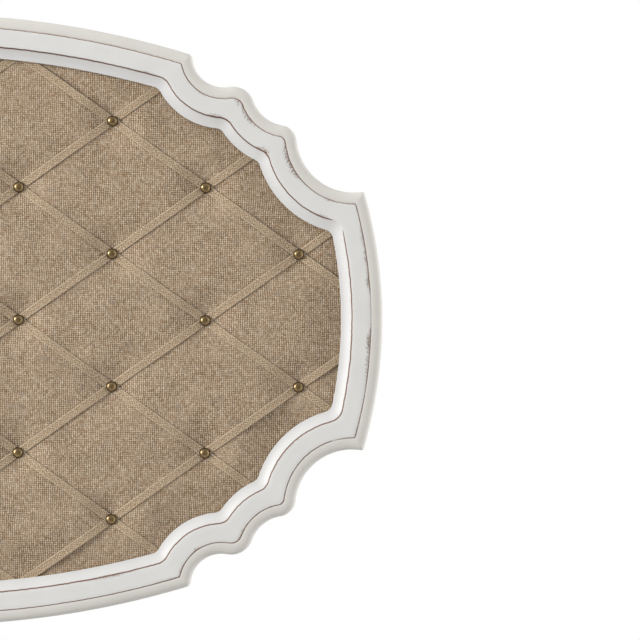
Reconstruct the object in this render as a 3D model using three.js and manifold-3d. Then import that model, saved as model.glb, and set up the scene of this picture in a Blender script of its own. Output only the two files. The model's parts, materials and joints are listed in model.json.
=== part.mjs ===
// A french memo board: a scalloped, moulded frame round a padded burlap panel, with a diamond lattice of
// burlap ribbon tacked down at every crossing, hung from two D rings.
//
// Units are millimetres. The board stands upright in the XZ plane with +Z up. The viewer looks along +Y at
// its face, and the wall is the plane Y = 0, which the bumpers touch. The origin is on the wall, behind the
// middle of the board.

import * as THREE from 'three';
import { mergeVertices } from 'three/addons/utils/BufferGeometryUtils.js';
import Module from 'manifold-3d';

const wasm = await Module();
wasm.setup();

// Frame outline: two shallow arcs and, in each corner, three scallops
const FRAME_WIDTH = 916.6;
const FRAME_HEIGHT = 611.8;
const RAIL_ARC_RADIUS = 906.5;
const STILE_ARC_RADIUS = 458.3;
// Scallop centres are measured in from the corner of the frame's bounding rectangle
const RAIL_SCALLOP_IN_X = 160;
const RAIL_SCALLOP_IN_Z = 41.3;
const RAIL_SCALLOP_RADIUS = 31.1;
const CORNER_SCALLOP_IN_X = 95.2;
const CORNER_SCALLOP_IN_Z = 74.2;
const CORNER_SCALLOP_RADIUS = 36.5;
const STILE_SCALLOP_IN_X = 29.7;
const STILE_SCALLOP_IN_Z = 120.4;
const STILE_SCALLOP_RADIUS = 56.8;
// Rounding of the four points between those arcs, from the rail to the stile
const OUTER_POINT_RADII = [6, 22, 18, 3];
const LEAST_POINT_RADIUS = 1.5;
const FLAT_POINT_RADIUS = 16;
const SIGHT_POINT_RADIUS = 10;

// Moulding, across its width from the outer edge to the sight edge
const BEAD_WIDTH = 11.3;
const FLAT_WIDTH = 19;
const COVE_WIDTH = 11.1;
const BEAD_DROP = 8;
const QUIRK = 1.2;
const COVE_DROP = 7;
const LIP_THICKNESS = 3;
const RABBET_LEDGE = 10;
const RABBET_POINT_RADIUS = 14;
const BACK_REBATE_LEDGE = 9;
const STILE_MEMBER_WIDTH = 218.3;
const GLUE_LINE = 0.2;

// Padded panel
const SEAT_GAP = 0.3;
const PANEL_PLAY = 1;
const COVER_THICKNESS = 0.8;
const PADDING_THICKNESS = 5;
const CORE_THICKNESS = 8;
const BACK_PANEL_THICKNESS = 3;
const BACK_PANEL_PLAY = 0.5;

// Lattice of ribbons and tufts. Its last column and row stand in from the sight edge by a margin.
const LATTICE_COLUMNS = 4;
const LATTICE_ROWS = 3;
const LATTICE_SIDE_MARGIN = 42.5;
const LATTICE_END_MARGIN = 65;
const RIBBON_WIDTH = 8;
const RIBBON_THICKNESS = 0.5;
const TUFT_DEPTH = 3;
const TUFT_RADIUS = 30;
const TACK_EDGE_MARGIN = 20;
const TACK_HEAD_DIAMETER = 11;
const TACK_HEAD_HEIGHT = 4;
const TACK_RIM = 0.5;
const TACK_SHANK_WIDTH = 1.8;
const TACK_POINT_WIDTH = 0.32;
const TACK_TIP_COVER = 1.4;

// Fasteners and hanging hardware
const BUMPER_HEIGHT = 6;
const BUMPER_BASE_DIAMETER = 13;
const BUMPER_TIP_DIAMETER = 10;
const BUMPER_JOINT_INSET = 35;
const SCREW_HEAD_DIAMETER = 6;
const SCREW_CROWN_DIAMETER = 4.2;
const SCREW_HEAD_HEIGHT = 1.6;
const SCREW_SHANK_DIAMETER = 3;
const SCREW_GRIP = 11;
const HANGER_Z = 92;
const STRAP_WIDTH = 11;
const STRAP_SHEET = 1;
const STRAP_LENGTH = 34;
const STRAP_SCREW_INSET = 7;
const RING_WIRE_DIAMETER = 2.5;
const RING_WIDTH = 17;
const RING_LEG = 9;
const RING_BEND_RADIUS = 2.8;

// Facets
const FRAME_FACETS = { rail: 6, scallop: 6, points: [2, 4, 4, 2], stile: 5 };
const PANEL_FACETS = { rail: 3, scallop: 4, points: [1, 2, 2, 1], stile: 2 };
const BEAD_STEPS = 3;
const COVE_STEPS = 3;
const TUFT_SIDES = 6;
const SHANK_SIDES = 4;
const TACK_SIDES = 12;
const DOME_STEPS = 3;
const ROUND_SIDES = 16;
const WIRE_SIDES = 6;
const RING_ARC_DIVISIONS = 3;
const WELD = 1e-4;

// Insets of the moulding's lines from the outer edge
const flatInset = BEAD_WIDTH;
const coveInset = BEAD_WIDTH + FLAT_WIDTH;
const sightInset = BEAD_WIDTH + FLAT_WIDTH + COVE_WIDTH;
const rabbetInset = sightInset - RABBET_LEDGE;
const rebateInset = rabbetInset - BACK_REBATE_LEDGE;
const coverInset = rabbetInset + PANEL_PLAY;
const coreInset = coverInset + COVER_THICKNESS + SEAT_GAP;
const backPanelInset = rebateInset + BACK_PANEL_PLAY;

// Joints between the rails and the stiles, and the bumpers beside them
const railJointX = FRAME_WIDTH / 2 - STILE_MEMBER_WIDTH;
const bumperX = railJointX - BUMPER_JOINT_INSET;

// Depths, stacked from the wall towards the viewer, who is on the negative side
const frameBackY = -BUMPER_HEIGHT;
const backPanelFrontY = frameBackY - BACK_PANEL_THICKNESS;
const coreBackY = backPanelFrontY - SEAT_GAP;
const coreFrontY = coreBackY - CORE_THICKNESS;
const paddingFrontY = coreFrontY - PADDING_THICKNESS;
const coverInsideY = paddingFrontY - SEAT_GAP;
const coverFrontY = coverInsideY - COVER_THICKNESS;
const risingRibbonBackY = coverFrontY - SEAT_GAP;
const fallingRibbonBackY = risingRibbonBackY - RIBBON_THICKNESS - SEAT_GAP;
const lipBackY = fallingRibbonBackY - RIBBON_THICKNESS - SEAT_GAP;
const sightFrontY = lipBackY - LIP_THICKNESS;
const faceY = sightFrontY - COVE_DROP;
const tackSeatY = lipBackY + tuftDepthAt(RIBBON_WIDTH / 2);
const tackTipY = coreBackY - TACK_TIP_COVER;

// Lattice spacing
const latticePitchX = (FRAME_WIDTH / 2 - sightInset - LATTICE_SIDE_MARGIN) / LATTICE_COLUMNS;
const latticePitchZ = (FRAME_HEIGHT / 2 - sightInset - LATTICE_END_MARGIN) / LATTICE_ROWS;
const latticeAngle = Math.atan2(latticePitchZ, latticePitchX);

// Solids

function toSolid(geometry) {
  const bare = geometry.clone();
  bare.deleteAttribute('normal');
  bare.deleteAttribute('uv');
  const welded = mergeVertices(bare, WELD);
  return new wasm.Manifold(new wasm.Mesh({
    numProp: 3,
    vertProperties: new Float32Array(welded.attributes.position.array),
    triVerts: new Uint32Array(welded.index.array),
  }));
}

function toGeometry(solid) {
  const mesh = solid.getMesh();
  const geometry = new THREE.BufferGeometry();
  geometry.setAttribute('position', new THREE.BufferAttribute(new Float32Array(mesh.vertProperties), 3));
  geometry.setIndex(new THREE.BufferAttribute(new Uint32Array(mesh.triVerts), 1));
  geometry.computeVertexNormals();
  return geometry;
}

function boxSolid(lowX, highX, lowY, highY, lowZ, highZ) {
  const box = new THREE.BoxGeometry(highX - lowX, highY - lowY, highZ - lowZ);
  box.translate((lowX + highX) / 2, (lowY + highY) / 2, (lowZ + highZ) / 2);
  return toSolid(box);
}

// A solid of revolution about the Y axis, whose profile is [radius, y] pairs from axis to axis
function turned(profile, sides) {
  return new THREE.LatheGeometry(profile.map(([radius, y]) => new THREE.Vector2(radius, y)), sides);
}

// A plate of the given outline in the XZ plane, from backY towards the viewer
function plate(points, backY, frontY) {
  const geometry = new THREE.ExtrudeGeometry(new THREE.Shape(points), {
    depth: backY - frontY,
    bevelEnabled: false,
  });
  geometry.rotateX(Math.PI / 2);
  geometry.translate(0, backY, 0);
  return toSolid(geometry);
}

// Outline of the frame and of everything that follows it

function circleMeet(a, b, near) {
  const span = b.centre.clone().sub(a.centre);
  const distance = span.length();
  const along = (a.radius ** 2 - b.radius ** 2 + distance ** 2) / (2 * distance);
  const across = Math.sqrt(a.radius ** 2 - along ** 2);
  const unit = span.divideScalar(distance);
  const foot = a.centre.clone().addScaledVector(unit, along);
  const side = new THREE.Vector2(-unit.y, unit.x).multiplyScalar(across);
  const first = foot.clone().add(side);
  const second = foot.clone().sub(side);
  return first.distanceTo(near) < second.distanceTo(near) ? first : second;
}

function arcPoints(centre, from, to, steps) {
  const radius = centre.distanceTo(from);
  const start = Math.atan2(from.y - centre.y, from.x - centre.x);
  const end = Math.atan2(to.y - centre.y, to.x - centre.x);
  const sweep = THREE.MathUtils.euclideanModulo(end - start + Math.PI, 2 * Math.PI) - Math.PI;
  return Array.from({ length: steps }, (_, k) => {
    const angle = start + (sweep * k) / steps;
    return new THREE.Vector2(centre.x + radius * Math.cos(angle), centre.y + radius * Math.sin(angle));
  });
}

// The arcs of the upper right quarter, each at its own inset. bulge is 1 where the arc swells outwards.
function quarterArcs(inset, facets) {
  const rail = {
    centre: new THREE.Vector2(0, FRAME_HEIGHT / 2 - RAIL_ARC_RADIUS),
    radius: RAIL_ARC_RADIUS - inset,
    bulge: 1,
    steps: facets.rail,
  };
  const stile = {
    centre: new THREE.Vector2(FRAME_WIDTH / 2 - STILE_ARC_RADIUS, 0),
    radius: STILE_ARC_RADIUS - inset,
    bulge: 1,
    steps: facets.stile,
  };
  const scallop = (inX, inZ, radius) => ({
    centre: new THREE.Vector2(FRAME_WIDTH / 2 - inX, FRAME_HEIGHT / 2 - inZ),
    radius: radius + inset,
    bulge: -1,
    steps: facets.scallop,
  });
  return [
    rail,
    scallop(RAIL_SCALLOP_IN_X, RAIL_SCALLOP_IN_Z, RAIL_SCALLOP_RADIUS),
    scallop(CORNER_SCALLOP_IN_X, CORNER_SCALLOP_IN_Z, CORNER_SCALLOP_RADIUS),
    scallop(STILE_SCALLOP_IN_X, STILE_SCALLOP_IN_Z, STILE_SCALLOP_RADIUS),
    stile,
  ];
}

// How round the four points are on the face: the bead runs parallel to the outer edge, then the points open
// out over the flat and tighten again over the cove
function facePointRadii(inset) {
  const { lerp, inverseLerp } = THREE.MathUtils;
  return OUTER_POINT_RADII.map((outer) => {
    const radius = Math.max(outer - Math.min(inset, flatInset), LEAST_POINT_RADIUS);
    if (inset <= flatInset) {
      return radius;
    }
    return inset <= coveInset
      ? lerp(radius, FLAT_POINT_RADIUS, inverseLerp(flatInset, coveInset, inset))
      : lerp(FLAT_POINT_RADIUS, SIGHT_POINT_RADIUS, inverseLerp(coveInset, sightInset, inset));
  });
}

// Behind the face every outline runs parallel to the wall of the rabbet
function backPointRadii(inset) {
  const radius = Math.max(RABBET_POINT_RADIUS + rabbetInset - inset, LEAST_POINT_RADIUS);
  return OUTER_POINT_RADII.map(() => radius);
}

// One quarter of an outline, from the top of the rail round to the end of the stile, without its last point
function quarterOutline(inset, radii, facets) {
  const arcs = quarterArcs(inset, facets);
  const points = [];
  const middle = new THREE.Vector2();
  const nearest = [new THREE.Vector2(0, FRAME_HEIGHT), middle, middle, new THREE.Vector2(FRAME_WIDTH, 0)];
  let from = new THREE.Vector2(0, arcs[0].centre.y + arcs[0].radius);
  for (let k = 0; k < arcs.length - 1; k += 1) {
    const [a, b] = [arcs[k], arcs[k + 1]];
    const round = radii[k];
    const inner = [a, b].map((arc) => ({ centre: arc.centre, radius: arc.radius - arc.bulge * round }));
    const centre = circleMeet(inner[0], inner[1], nearest[k]);
    const leave = a.centre.clone().lerp(centre, a.radius / inner[0].radius);
    const arrive = b.centre.clone().lerp(centre, b.radius / inner[1].radius);
    points.push(...arcPoints(a.centre, from, leave, a.steps));
    points.push(...arcPoints(centre, leave, arrive, facets.points[k]));
    from = arrive;
  }
  const stile = arcs[arcs.length - 1];
  const end = new THREE.Vector2(stile.centre.x + stile.radius, 0);
  points.push(...arcPoints(stile.centre, from, end, stile.steps));
  return { points, end };
}

// The whole outline at an inset, clockwise from the top as the viewer sees it
function outline(inset, radii, facets) {
  const { points, end } = quarterOutline(inset, radii, facets);
  const start = points[0];
  const between = points.slice(1);
  const back = [...between].reverse();
  const mirrored = (list, x, z) => list.map((p) => new THREE.Vector2(x * p.x, z * p.y));
  return [
    start,
    ...between,
    end,
    ...mirrored(back, 1, -1),
    ...mirrored([start], 1, -1),
    ...mirrored(between, -1, -1),
    ...mirrored([end], -1, 1),
    ...mirrored(back, -1, 1),
  ];
}

function panelOutline(inset, facets = PANEL_FACETS) {
  return outline(inset, backPointRadii(inset), facets);
}

function insideOutline(points, x, z) {
  let inside = false;
  points.forEach((p, k) => {
    const q = points[(k + 1) % points.length];
    if ((p.y > z) !== (q.y > z) && x < p.x + ((q.x - p.x) * (z - p.y)) / (q.y - p.y)) {
      inside = !inside;
    }
  });
  return inside;
}

// Frame

// The moulding's section in two runs of [inset, y]. The first goes over the face, from the outer back
// corner to the sight edge. The second goes back round the rabbet and the rebate.
function mouldingSection() {
  const face = [];
  for (let k = 0; k <= BEAD_STEPS; k += 1) {
    const angle = (k / BEAD_STEPS) * (Math.PI / 2);
    const rise = (BEAD_DROP - QUIRK) * Math.sin(angle);
    face.push([BEAD_WIDTH * (1 - Math.cos(angle)), faceY + BEAD_DROP - rise]);
  }
  face.push([flatInset, faceY]);
  face.push([coveInset, faceY]);
  for (let k = 0; k <= COVE_STEPS; k += 1) {
    const angle = (k / COVE_STEPS) * (Math.PI / 2);
    const fall = (COVE_DROP - QUIRK) * Math.sin(angle);
    face.push([coveInset + COVE_WIDTH * (1 - Math.cos(angle)), faceY + QUIRK + fall]);
  }
  const back = [
    [rabbetInset, lipBackY],
    [rabbetInset, backPanelFrontY],
    [rebateInset, backPanelFrontY],
    [rebateInset, frameBackY],
  ];
  return { face: [[0, frameBackY], ...face, [sightInset, lipBackY]], back };
}

// The moulding lofted once round the frame, before it is parted into members
function frameRing() {
  const { face, back } = mouldingSection();
  const ringsOf = (lines, radiiAt) => lines.map(([inset, y]) => {
    const points = outline(inset, radiiAt(inset), FRAME_FACETS);
    return points.map((p) => [p.x, y, p.y]);
  });
  const rings = [...ringsOf(face, facePointRadii), ...ringsOf(back, backPointRadii)];
  const count = rings[0].length;
  const index = [];
  for (let line = 0; line < rings.length; line += 1) {
    const next = (line + 1) % rings.length;
    for (let k = 0; k < count; k += 1) {
      const onward = (k + 1) % count;
      const [a, b] = [line * count + k, line * count + onward];
      const [c, d] = [next * count + k, next * count + onward];
      index.push(a, c, b, b, c, d);
    }
  }
  const geometry = new THREE.BufferGeometry();
  geometry.setAttribute('position', new THREE.Float32BufferAttribute(rings.flat(2), 3));
  geometry.setIndex(index);
  return toSolid(geometry);
}

// Half the outline's height at an inset, at a given x on the rail, and half its width at a z on the stile
function railZ(inset, x) {
  return FRAME_HEIGHT / 2 - RAIL_ARC_RADIUS + Math.sqrt((RAIL_ARC_RADIUS - inset) ** 2 - x ** 2);
}

function stileX(inset, z) {
  return FRAME_WIDTH / 2 - STILE_ARC_RADIUS + Math.sqrt((STILE_ARC_RADIUS - inset) ** 2 - z ** 2);
}

// A screw about its own axis: a pan head whose underside is at y = 0, and a pointed shank
function screwGeometry() {
  const head = SCREW_HEAD_DIAMETER / 2;
  const shank = SCREW_SHANK_DIAMETER / 2;
  return turned([
    [0, -SCREW_GRIP],
    [shank, -SCREW_GRIP + SCREW_SHANK_DIAMETER],
    [shank, 0],
    [head, 0],
    [head, SCREW_HEAD_HEIGHT / 2],
    [SCREW_CROWN_DIAMETER / 2, SCREW_HEAD_HEIGHT],
    [0, SCREW_HEAD_HEIGHT],
  ], ROUND_SIDES / 2);
}

function screwHole(place) {
  const radius = SCREW_SHANK_DIAMETER / 2 + SEAT_GAP;
  const depth = SCREW_GRIP + SEAT_GAP;
  const hole = new THREE.CylinderGeometry(radius, radius, 2 * depth, ROUND_SIDES / 2);
  hole.translate(place.x, place.y, place.z);
  return toSolid(hole);
}

const panelScrewInset = (backPanelInset + rabbetInset) / 2;
const strapScrewDrop = STRAP_LENGTH - STRAP_SCREW_INSET;
const hangerX = stileX(rebateInset / 2, HANGER_Z);
const strapBackY = frameBackY + 2 * STRAP_SHEET;
const screws = {
  panel_screw_top: new THREE.Vector3(0, frameBackY, railZ(panelScrewInset, 0)),
  panel_screw_bottom: new THREE.Vector3(0, frameBackY, -railZ(panelScrewInset, 0)),
  panel_screw_left: new THREE.Vector3(-stileX(panelScrewInset, 0), frameBackY, 0),
  panel_screw_right: new THREE.Vector3(stileX(panelScrewInset, 0), frameBackY, 0),
  hanger_screw_left: new THREE.Vector3(-hangerX, strapBackY, HANGER_Z - strapScrewDrop),
  hanger_screw_right: new THREE.Vector3(hangerX, strapBackY, HANGER_Z - strapScrewDrop),
};

function frameMembers() {
  const ring = cutAll(frameRing(), Object.values(screws).map(screwHole));
  const joint = railJointX - GLUE_LINE / 2;
  const outer = railJointX + GLUE_LINE / 2;
  const far = FRAME_WIDTH;
  const part = (lowX, highX, lowZ, highZ) => (
    ring.intersect(boxSolid(lowX, highX, -far, far, lowZ, highZ))
  );
  return {
    top_rail: part(-joint, joint, 0, far),
    bottom_rail: part(-joint, joint, -far, 0),
    left_stile: part(-far, -outer, -far, far),
    right_stile: part(outer, far, -far, far),
  };
}

// Lattice

// Tacks stand at every other lattice point, wherever the field has room for one
function latticePoints() {
  const field = panelOutline(sightInset + TACK_EDGE_MARGIN);
  const points = [];
  for (let row = LATTICE_ROWS; row >= -LATTICE_ROWS; row -= 1) {
    for (let column = -LATTICE_COLUMNS; column <= LATTICE_COLUMNS; column += 1) {
      const [x, z] = [column * latticePitchX, row * latticePitchZ];
      if ((row + column) % 2 !== 0 && insideOutline(field, x, z)) {
        points.push({ column, row, x, z });
      }
    }
  }
  return points;
}

const tacks = latticePoints();

// The way that a tack's shank takes through a layer, with room round it
function shankWay(tack, tipY, sides) {
  const radius = (TACK_SHANK_WIDTH / Math.SQRT2 + SEAT_GAP) / Math.cos(Math.PI / sides);
  const way = new THREE.CylinderGeometry(radius, radius, tipY - faceY, sides);
  way.translate(tack.x, (tipY + faceY) / 2, tack.z);
  return toSolid(way);
}

// The dish that a tack draws the cloth into, measured back from a front face at frontY
function tuftDish(tack, frontY) {
  const dish = turned([
    [0, frontY - TUFT_DEPTH],
    [2 * TUFT_RADIUS, frontY - TUFT_DEPTH],
    [0, frontY + TUFT_DEPTH],
  ], TUFT_SIDES);
  dish.translate(tack.x, 0, tack.z);
  return toSolid(dish);
}

function cutAll(solid, cutters) {
  return cutters.reduce((rest, cutter) => rest.subtract(cutter), solid);
}

function burlapCover() {
  const wrap = plate(panelOutline(coverInset), coreBackY, coverFrontY)
    .subtract(plate(panelOutline(coverInset + COVER_THICKNESS), coreBackY + SEAT_GAP, coverInsideY));
  const behind = boxSolid(-FRAME_WIDTH, FRAME_WIDTH, coverInsideY, coreFrontY, -FRAME_HEIGHT, FRAME_HEIGHT);
  const linings = tacks.map((tack) => tuftDish(tack, coverInsideY).intersect(behind));
  const lined = linings.reduce((rest, lining) => rest.add(lining), wrap);
  const dished = cutAll(lined, tacks.map((tack) => tuftDish(tack, coverFrontY)));
  return cutAll(dished, tacks.map((tack) => shankWay(tack, coreFrontY, TUFT_SIDES)));
}

function padding() {
  const pad = plate(panelOutline(coreInset), coreFrontY, paddingFrontY);
  const dished = cutAll(pad, tacks.map((tack) => tuftDish(tack, paddingFrontY)));
  return cutAll(dished, tacks.map((tack) => shankWay(tack, coreBackY, TUFT_SIDES)));
}

function panelCore() {
  const core = plate(panelOutline(coreInset), coreBackY, coreFrontY);
  return cutAll(core, tacks.map((tack) => shankWay(tack, tackTipY + SEAT_GAP, SHANK_SIDES)));
}

function backPanel() {
  const panel = plate(panelOutline(backPanelInset, FRAME_FACETS), frameBackY, backPanelFrontY);
  return cutAll(panel, Object.values(screws).map(screwHole));
}

// How far along a line, from its middle, it crosses an outline
function crossings(points, middleZ, angle) {
  const middle = new THREE.Vector2(0, middleZ);
  const turn = (p) => p.clone().rotateAround(middle, -angle).sub(middle);
  const found = [];
  points.forEach((p, k) => {
    const [a, b] = [turn(p), turn(points[(k + 1) % points.length])];
    if ((a.y > 0) !== (b.y > 0)) {
      found.push(a.x + ((b.x - a.x) * a.y) / (a.y - b.y));
    }
  });
  return found;
}

// How deep a ribbon can lie at a distance along it from a tack, with its edges just on the dish's sides
function tuftDepthAt(along) {
  const facet = Math.cos(Math.PI / TUFT_SIDES);
  return TUFT_DEPTH * (1 - Math.hypot(along, RIBBON_WIDTH / 2) / (TUFT_RADIUS * facet));
}

// A ribbon's run along its own line as [distance from the line's middle, depth below the crest]. It is flat
// under each tack's head and climbs from there to the rim of the dish.
function ribbonRun(stops, ends) {
  const floor = RIBBON_WIDTH / 2;
  const depth = tuftDepthAt(floor);
  const rim = Math.sqrt((TUFT_RADIUS * Math.cos(Math.PI / TUFT_SIDES)) ** 2 - floor ** 2);
  const run = [[Math.max(...ends.filter((end) => end < Math.min(...stops))), 0]];
  stops.forEach((stop) => {
    run.push([stop - rim, 0], [stop - floor, depth], [stop + floor, depth], [stop + rim, 0]);
  });
  run.push([Math.min(...ends.filter((end) => end > Math.max(...stops))), 0]);
  return run;
}

// A ribbon lies along column - direction * row = offset. Direction 1 rises to the right and -1 falls.
function ribbon(direction, offset) {
  const backY = direction === 1 ? risingRibbonBackY : fallingRibbonBackY;
  const middleZ = -direction * offset * latticePitchZ;
  const panel = panelOutline(coverInset);
  const pierced = tacks
    .filter((tack) => tack.column - direction * tack.row === offset)
    .sort((a, b) => a.x - b.x);
  const stops = pierced.map((tack) => tack.x / Math.cos(latticeAngle));
  const run = ribbonRun(stops, crossings(panel, middleZ, direction * latticeAngle));
  const section = new THREE.Shape([
    ...run.map(([along, depth]) => new THREE.Vector2(along, backY + depth)),
    ...run.map(([along, depth]) => new THREE.Vector2(along, backY - RIBBON_THICKNESS + depth)).reverse(),
  ]);
  const strip = new THREE.ExtrudeGeometry(section, { depth: RIBBON_WIDTH, bevelEnabled: false });
  strip.translate(0, 0, -RIBBON_WIDTH / 2);
  strip.rotateY(-direction * latticeAngle);
  strip.translate(0, 0, middleZ);
  const trimmed = toSolid(strip).intersect(plate(panel, coreFrontY, lipBackY));
  return cutAll(trimmed, pierced.map((tack) => shankWay(tack, coreBackY, SHANK_SIDES)));
}

function ribbons() {
  const offsets = [...new Set(tacks.map((tack) => tack.column - tack.row))].sort((a, b) => a - b);
  const pieces = {};
  offsets.forEach((offset, k) => {
    pieces[`ribbon_rising_${k + 1}`] = ribbon(1, offset);
    pieces[`ribbon_falling_${k + 1}`] = ribbon(-1, offset);
  });
  return pieces;
}

// A tack about its own axis: a domed head whose underside is at y = 0, and a square tapered shank
function tackGeometry() {
  const radius = TACK_HEAD_DIAMETER / 2;
  const dome = [];
  for (let k = 0; k <= DOME_STEPS; k += 1) {
    const angle = (k / DOME_STEPS) * (Math.PI / 2);
    dome.push([radius * Math.sin(angle), -TACK_RIM - (TACK_HEAD_HEIGHT - TACK_RIM) * Math.cos(angle)]);
  }
  const head = turned([...dome, [radius, 0], [0, 0]], TACK_SIDES);
  const length = tackTipY - tackSeatY;
  const shank = new THREE.CylinderGeometry(
    TACK_POINT_WIDTH / Math.SQRT2,
    TACK_SHANK_WIDTH / Math.SQRT2,
    length + TACK_RIM,
    SHANK_SIDES,
  );
  shank.translate(0, (length - TACK_RIM) / 2, 0);
  return toGeometry(toSolid(head).add(toSolid(shank)));
}

// Hanging hardware

const ringAxisY = frameBackY + STRAP_SHEET + SEAT_GAP + RING_WIRE_DIAMETER / 2;
const ringReach = RING_LEG + RING_WIDTH / 2;

// The strap is folded double, flat on the stile, with the fold rolled into an eye for the ring
function hangerStrap() {
  const half = STRAP_WIDTH / 2;
  const tail = new THREE.Shape();
  tail.moveTo(-half, 0);
  tail.lineTo(-half, half - STRAP_LENGTH);
  tail.absarc(0, half - STRAP_LENGTH, half, Math.PI, 2 * Math.PI, false);
  tail.lineTo(half, 0);
  const sheet = plate(tail.getPoints(ROUND_SIDES / 4), strapBackY, frameBackY);
  const eyeRadius = ringAxisY - frameBackY;
  const barrel = (radius, length) => {
    const cylinder = new THREE.CylinderGeometry(radius, radius, length, ROUND_SIDES);
    cylinder.rotateY(Math.PI / 2);
    cylinder.rotateZ(Math.PI / 2);
    cylinder.translate(0, ringAxisY, 0);
    return toSolid(cylinder);
  };
  const hole = screwHole(new THREE.Vector3(0, strapBackY, -strapScrewDrop));
  return sheet
    .add(barrel(eyeRadius, STRAP_WIDTH))
    .subtract(barrel(RING_WIRE_DIAMETER / 2 + SEAT_GAP, 2 * STRAP_WIDTH))
    .subtract(hole);
}

// A D of round wire, hanging from its straight bar, which lies on the X axis
function ringGeometry() {
  const half = RING_WIDTH / 2;
  const inner = half - RING_BEND_RADIUS;
  const wire = RING_WIRE_DIAMETER / 2;
  const path = new THREE.Path();
  path.moveTo(inner, 0);
  path.lineTo(-inner, 0);
  path.absarc(-inner, -RING_BEND_RADIUS, RING_BEND_RADIUS, Math.PI / 2, Math.PI, false);
  path.lineTo(-half, -RING_LEG);
  path.absarc(0, -RING_LEG, half, Math.PI, 2 * Math.PI, false);
  path.lineTo(half, -RING_BEND_RADIUS);
  path.absarc(inner, -RING_BEND_RADIUS, RING_BEND_RADIUS, 0, Math.PI / 2, false);
  const points = path.getPoints(RING_ARC_DIVISIONS).slice(0, -1);
  const spots = points.filter((p, k) => p.distanceTo(points[(k + 1) % points.length]) > WELD);
  const position = [];
  const index = [];
  spots.forEach((spot, k) => {
    const before = spots[(k + spots.length - 1) % spots.length];
    const after = spots[(k + 1) % spots.length];
    const arrive = spot.clone().sub(before).normalize();
    const leave = after.clone().sub(spot).normalize();
    const along = arrive.clone().add(leave).normalize();
    const stretch = 1 / along.dot(leave);
    for (let side = 0; side < WIRE_SIDES; side += 1) {
      const angle = ((side + 0.5) / WIRE_SIDES) * 2 * Math.PI;
      const out = wire * Math.cos(angle) * stretch;
      position.push(spot.x + along.y * out, wire * Math.sin(angle), spot.y - along.x * out);
      const a = k * WIRE_SIDES + side;
      const b = k * WIRE_SIDES + ((side + 1) % WIRE_SIDES);
      const turn = (((k + 1) % spots.length) - k) * WIRE_SIDES;
      index.push(a, b, a + turn, b, b + turn, a + turn);
    }
  });
  const geometry = new THREE.BufferGeometry();
  geometry.setAttribute('position', new THREE.Float32BufferAttribute(position, 3));
  geometry.setIndex(index);
  geometry.computeVertexNormals();
  return geometry;
}

function bumperGeometry() {
  const base = BUMPER_BASE_DIAMETER / 2;
  const tip = BUMPER_TIP_DIAMETER / 2;
  return turned([
    [0, -BUMPER_HEIGHT],
    [base, -BUMPER_HEIGHT],
    [base, -BUMPER_HEIGHT / 2],
    [tip, 0],
    [0, 0],
  ], ROUND_SIDES);
}

// Assembly

const finishes = {
  paint: { color: 0xd6d4d0, roughness: 0.55, metalness: 0 },
  burlap: { color: 0xa28e78, roughness: 0.95, metalness: 0 },
  ribbon: { color: 0xab977f, roughness: 0.95, metalness: 0 },
  batting: { color: 0xeeece6, roughness: 1, metalness: 0 },
  fibreboard: { color: 0xb08d62, roughness: 0.9, metalness: 0 },
  hardboard: { color: 0x7a5a3c, roughness: 0.7, metalness: 0 },
  brass: { color: 0x8a7442, roughness: 0.35, metalness: 1 },
  steel: { color: 0xc4c6c8, roughness: 0.3, metalness: 1 },
  rubber: { color: 0x2a2a2a, roughness: 0.85, metalness: 0 },
};

const board = new THREE.Group();

function addPiece(parent, name, geometry, finish) {
  const mesh = new THREE.Mesh(geometry, new THREE.MeshStandardMaterial(finishes[finish]));
  mesh.name = name;
  parent.add(mesh);
  return mesh;
}

Object.entries(frameMembers()).forEach(([name, solid]) => {
  addPiece(board, name, toGeometry(solid), 'paint');
});
addPiece(board, 'burlap_cover', toGeometry(burlapCover()), 'burlap');
addPiece(board, 'padding', toGeometry(padding()), 'batting');
addPiece(board, 'panel_core', toGeometry(panelCore()), 'fibreboard');
addPiece(board, 'back_panel', toGeometry(backPanel()), 'hardboard');
Object.entries(ribbons()).forEach(([name, solid]) => {
  addPiece(board, name, toGeometry(solid), 'ribbon');
});

const tackShape = tackGeometry();
tacks.forEach((tack, k) => {
  const mesh = addPiece(board, `tack_${k + 1}`, tackShape, 'brass');
  mesh.position.set(tack.x, tackSeatY, tack.z);
});

const screwShape = screwGeometry();
Object.entries(screws).forEach(([name, place]) => {
  addPiece(board, name, screwShape, 'steel').position.copy(place);
});

const strapShape = toGeometry(hangerStrap());
const ringShape = ringGeometry();
const bumperShape = bumperGeometry();
// The ring rests on the back of its own strap
const ringLean = Math.asin((strapBackY + SEAT_GAP + RING_WIRE_DIAMETER / 2 - ringAxisY) / ringReach);
[['left', -1], ['right', 1]].forEach(([side, sign]) => {
  const hanger = new THREE.Group();
  hanger.position.set(sign * hangerX, 0, HANGER_Z);
  board.add(hanger);
  addPiece(hanger, `hanger_strap_${side}`, strapShape, 'steel');
  const ring = addPiece(hanger, `d_ring_${side}`, ringShape, 'steel');
  ring.position.y = ringAxisY;
  ring.rotation.x = ringLean;
  const bumper = addPiece(board, `bumper_${side}`, bumperShape, 'rubber');
  bumper.position.set(sign * bumperX, 0, -railZ(rebateInset / 2, bumperX));
});

export default board;
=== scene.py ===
"""A French memo board dressed over its solids: moulding, burlap, tapes, tacks and fittings."""

import json
import math

import bpy
import numpy as np
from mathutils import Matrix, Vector, geometry, noise

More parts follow.
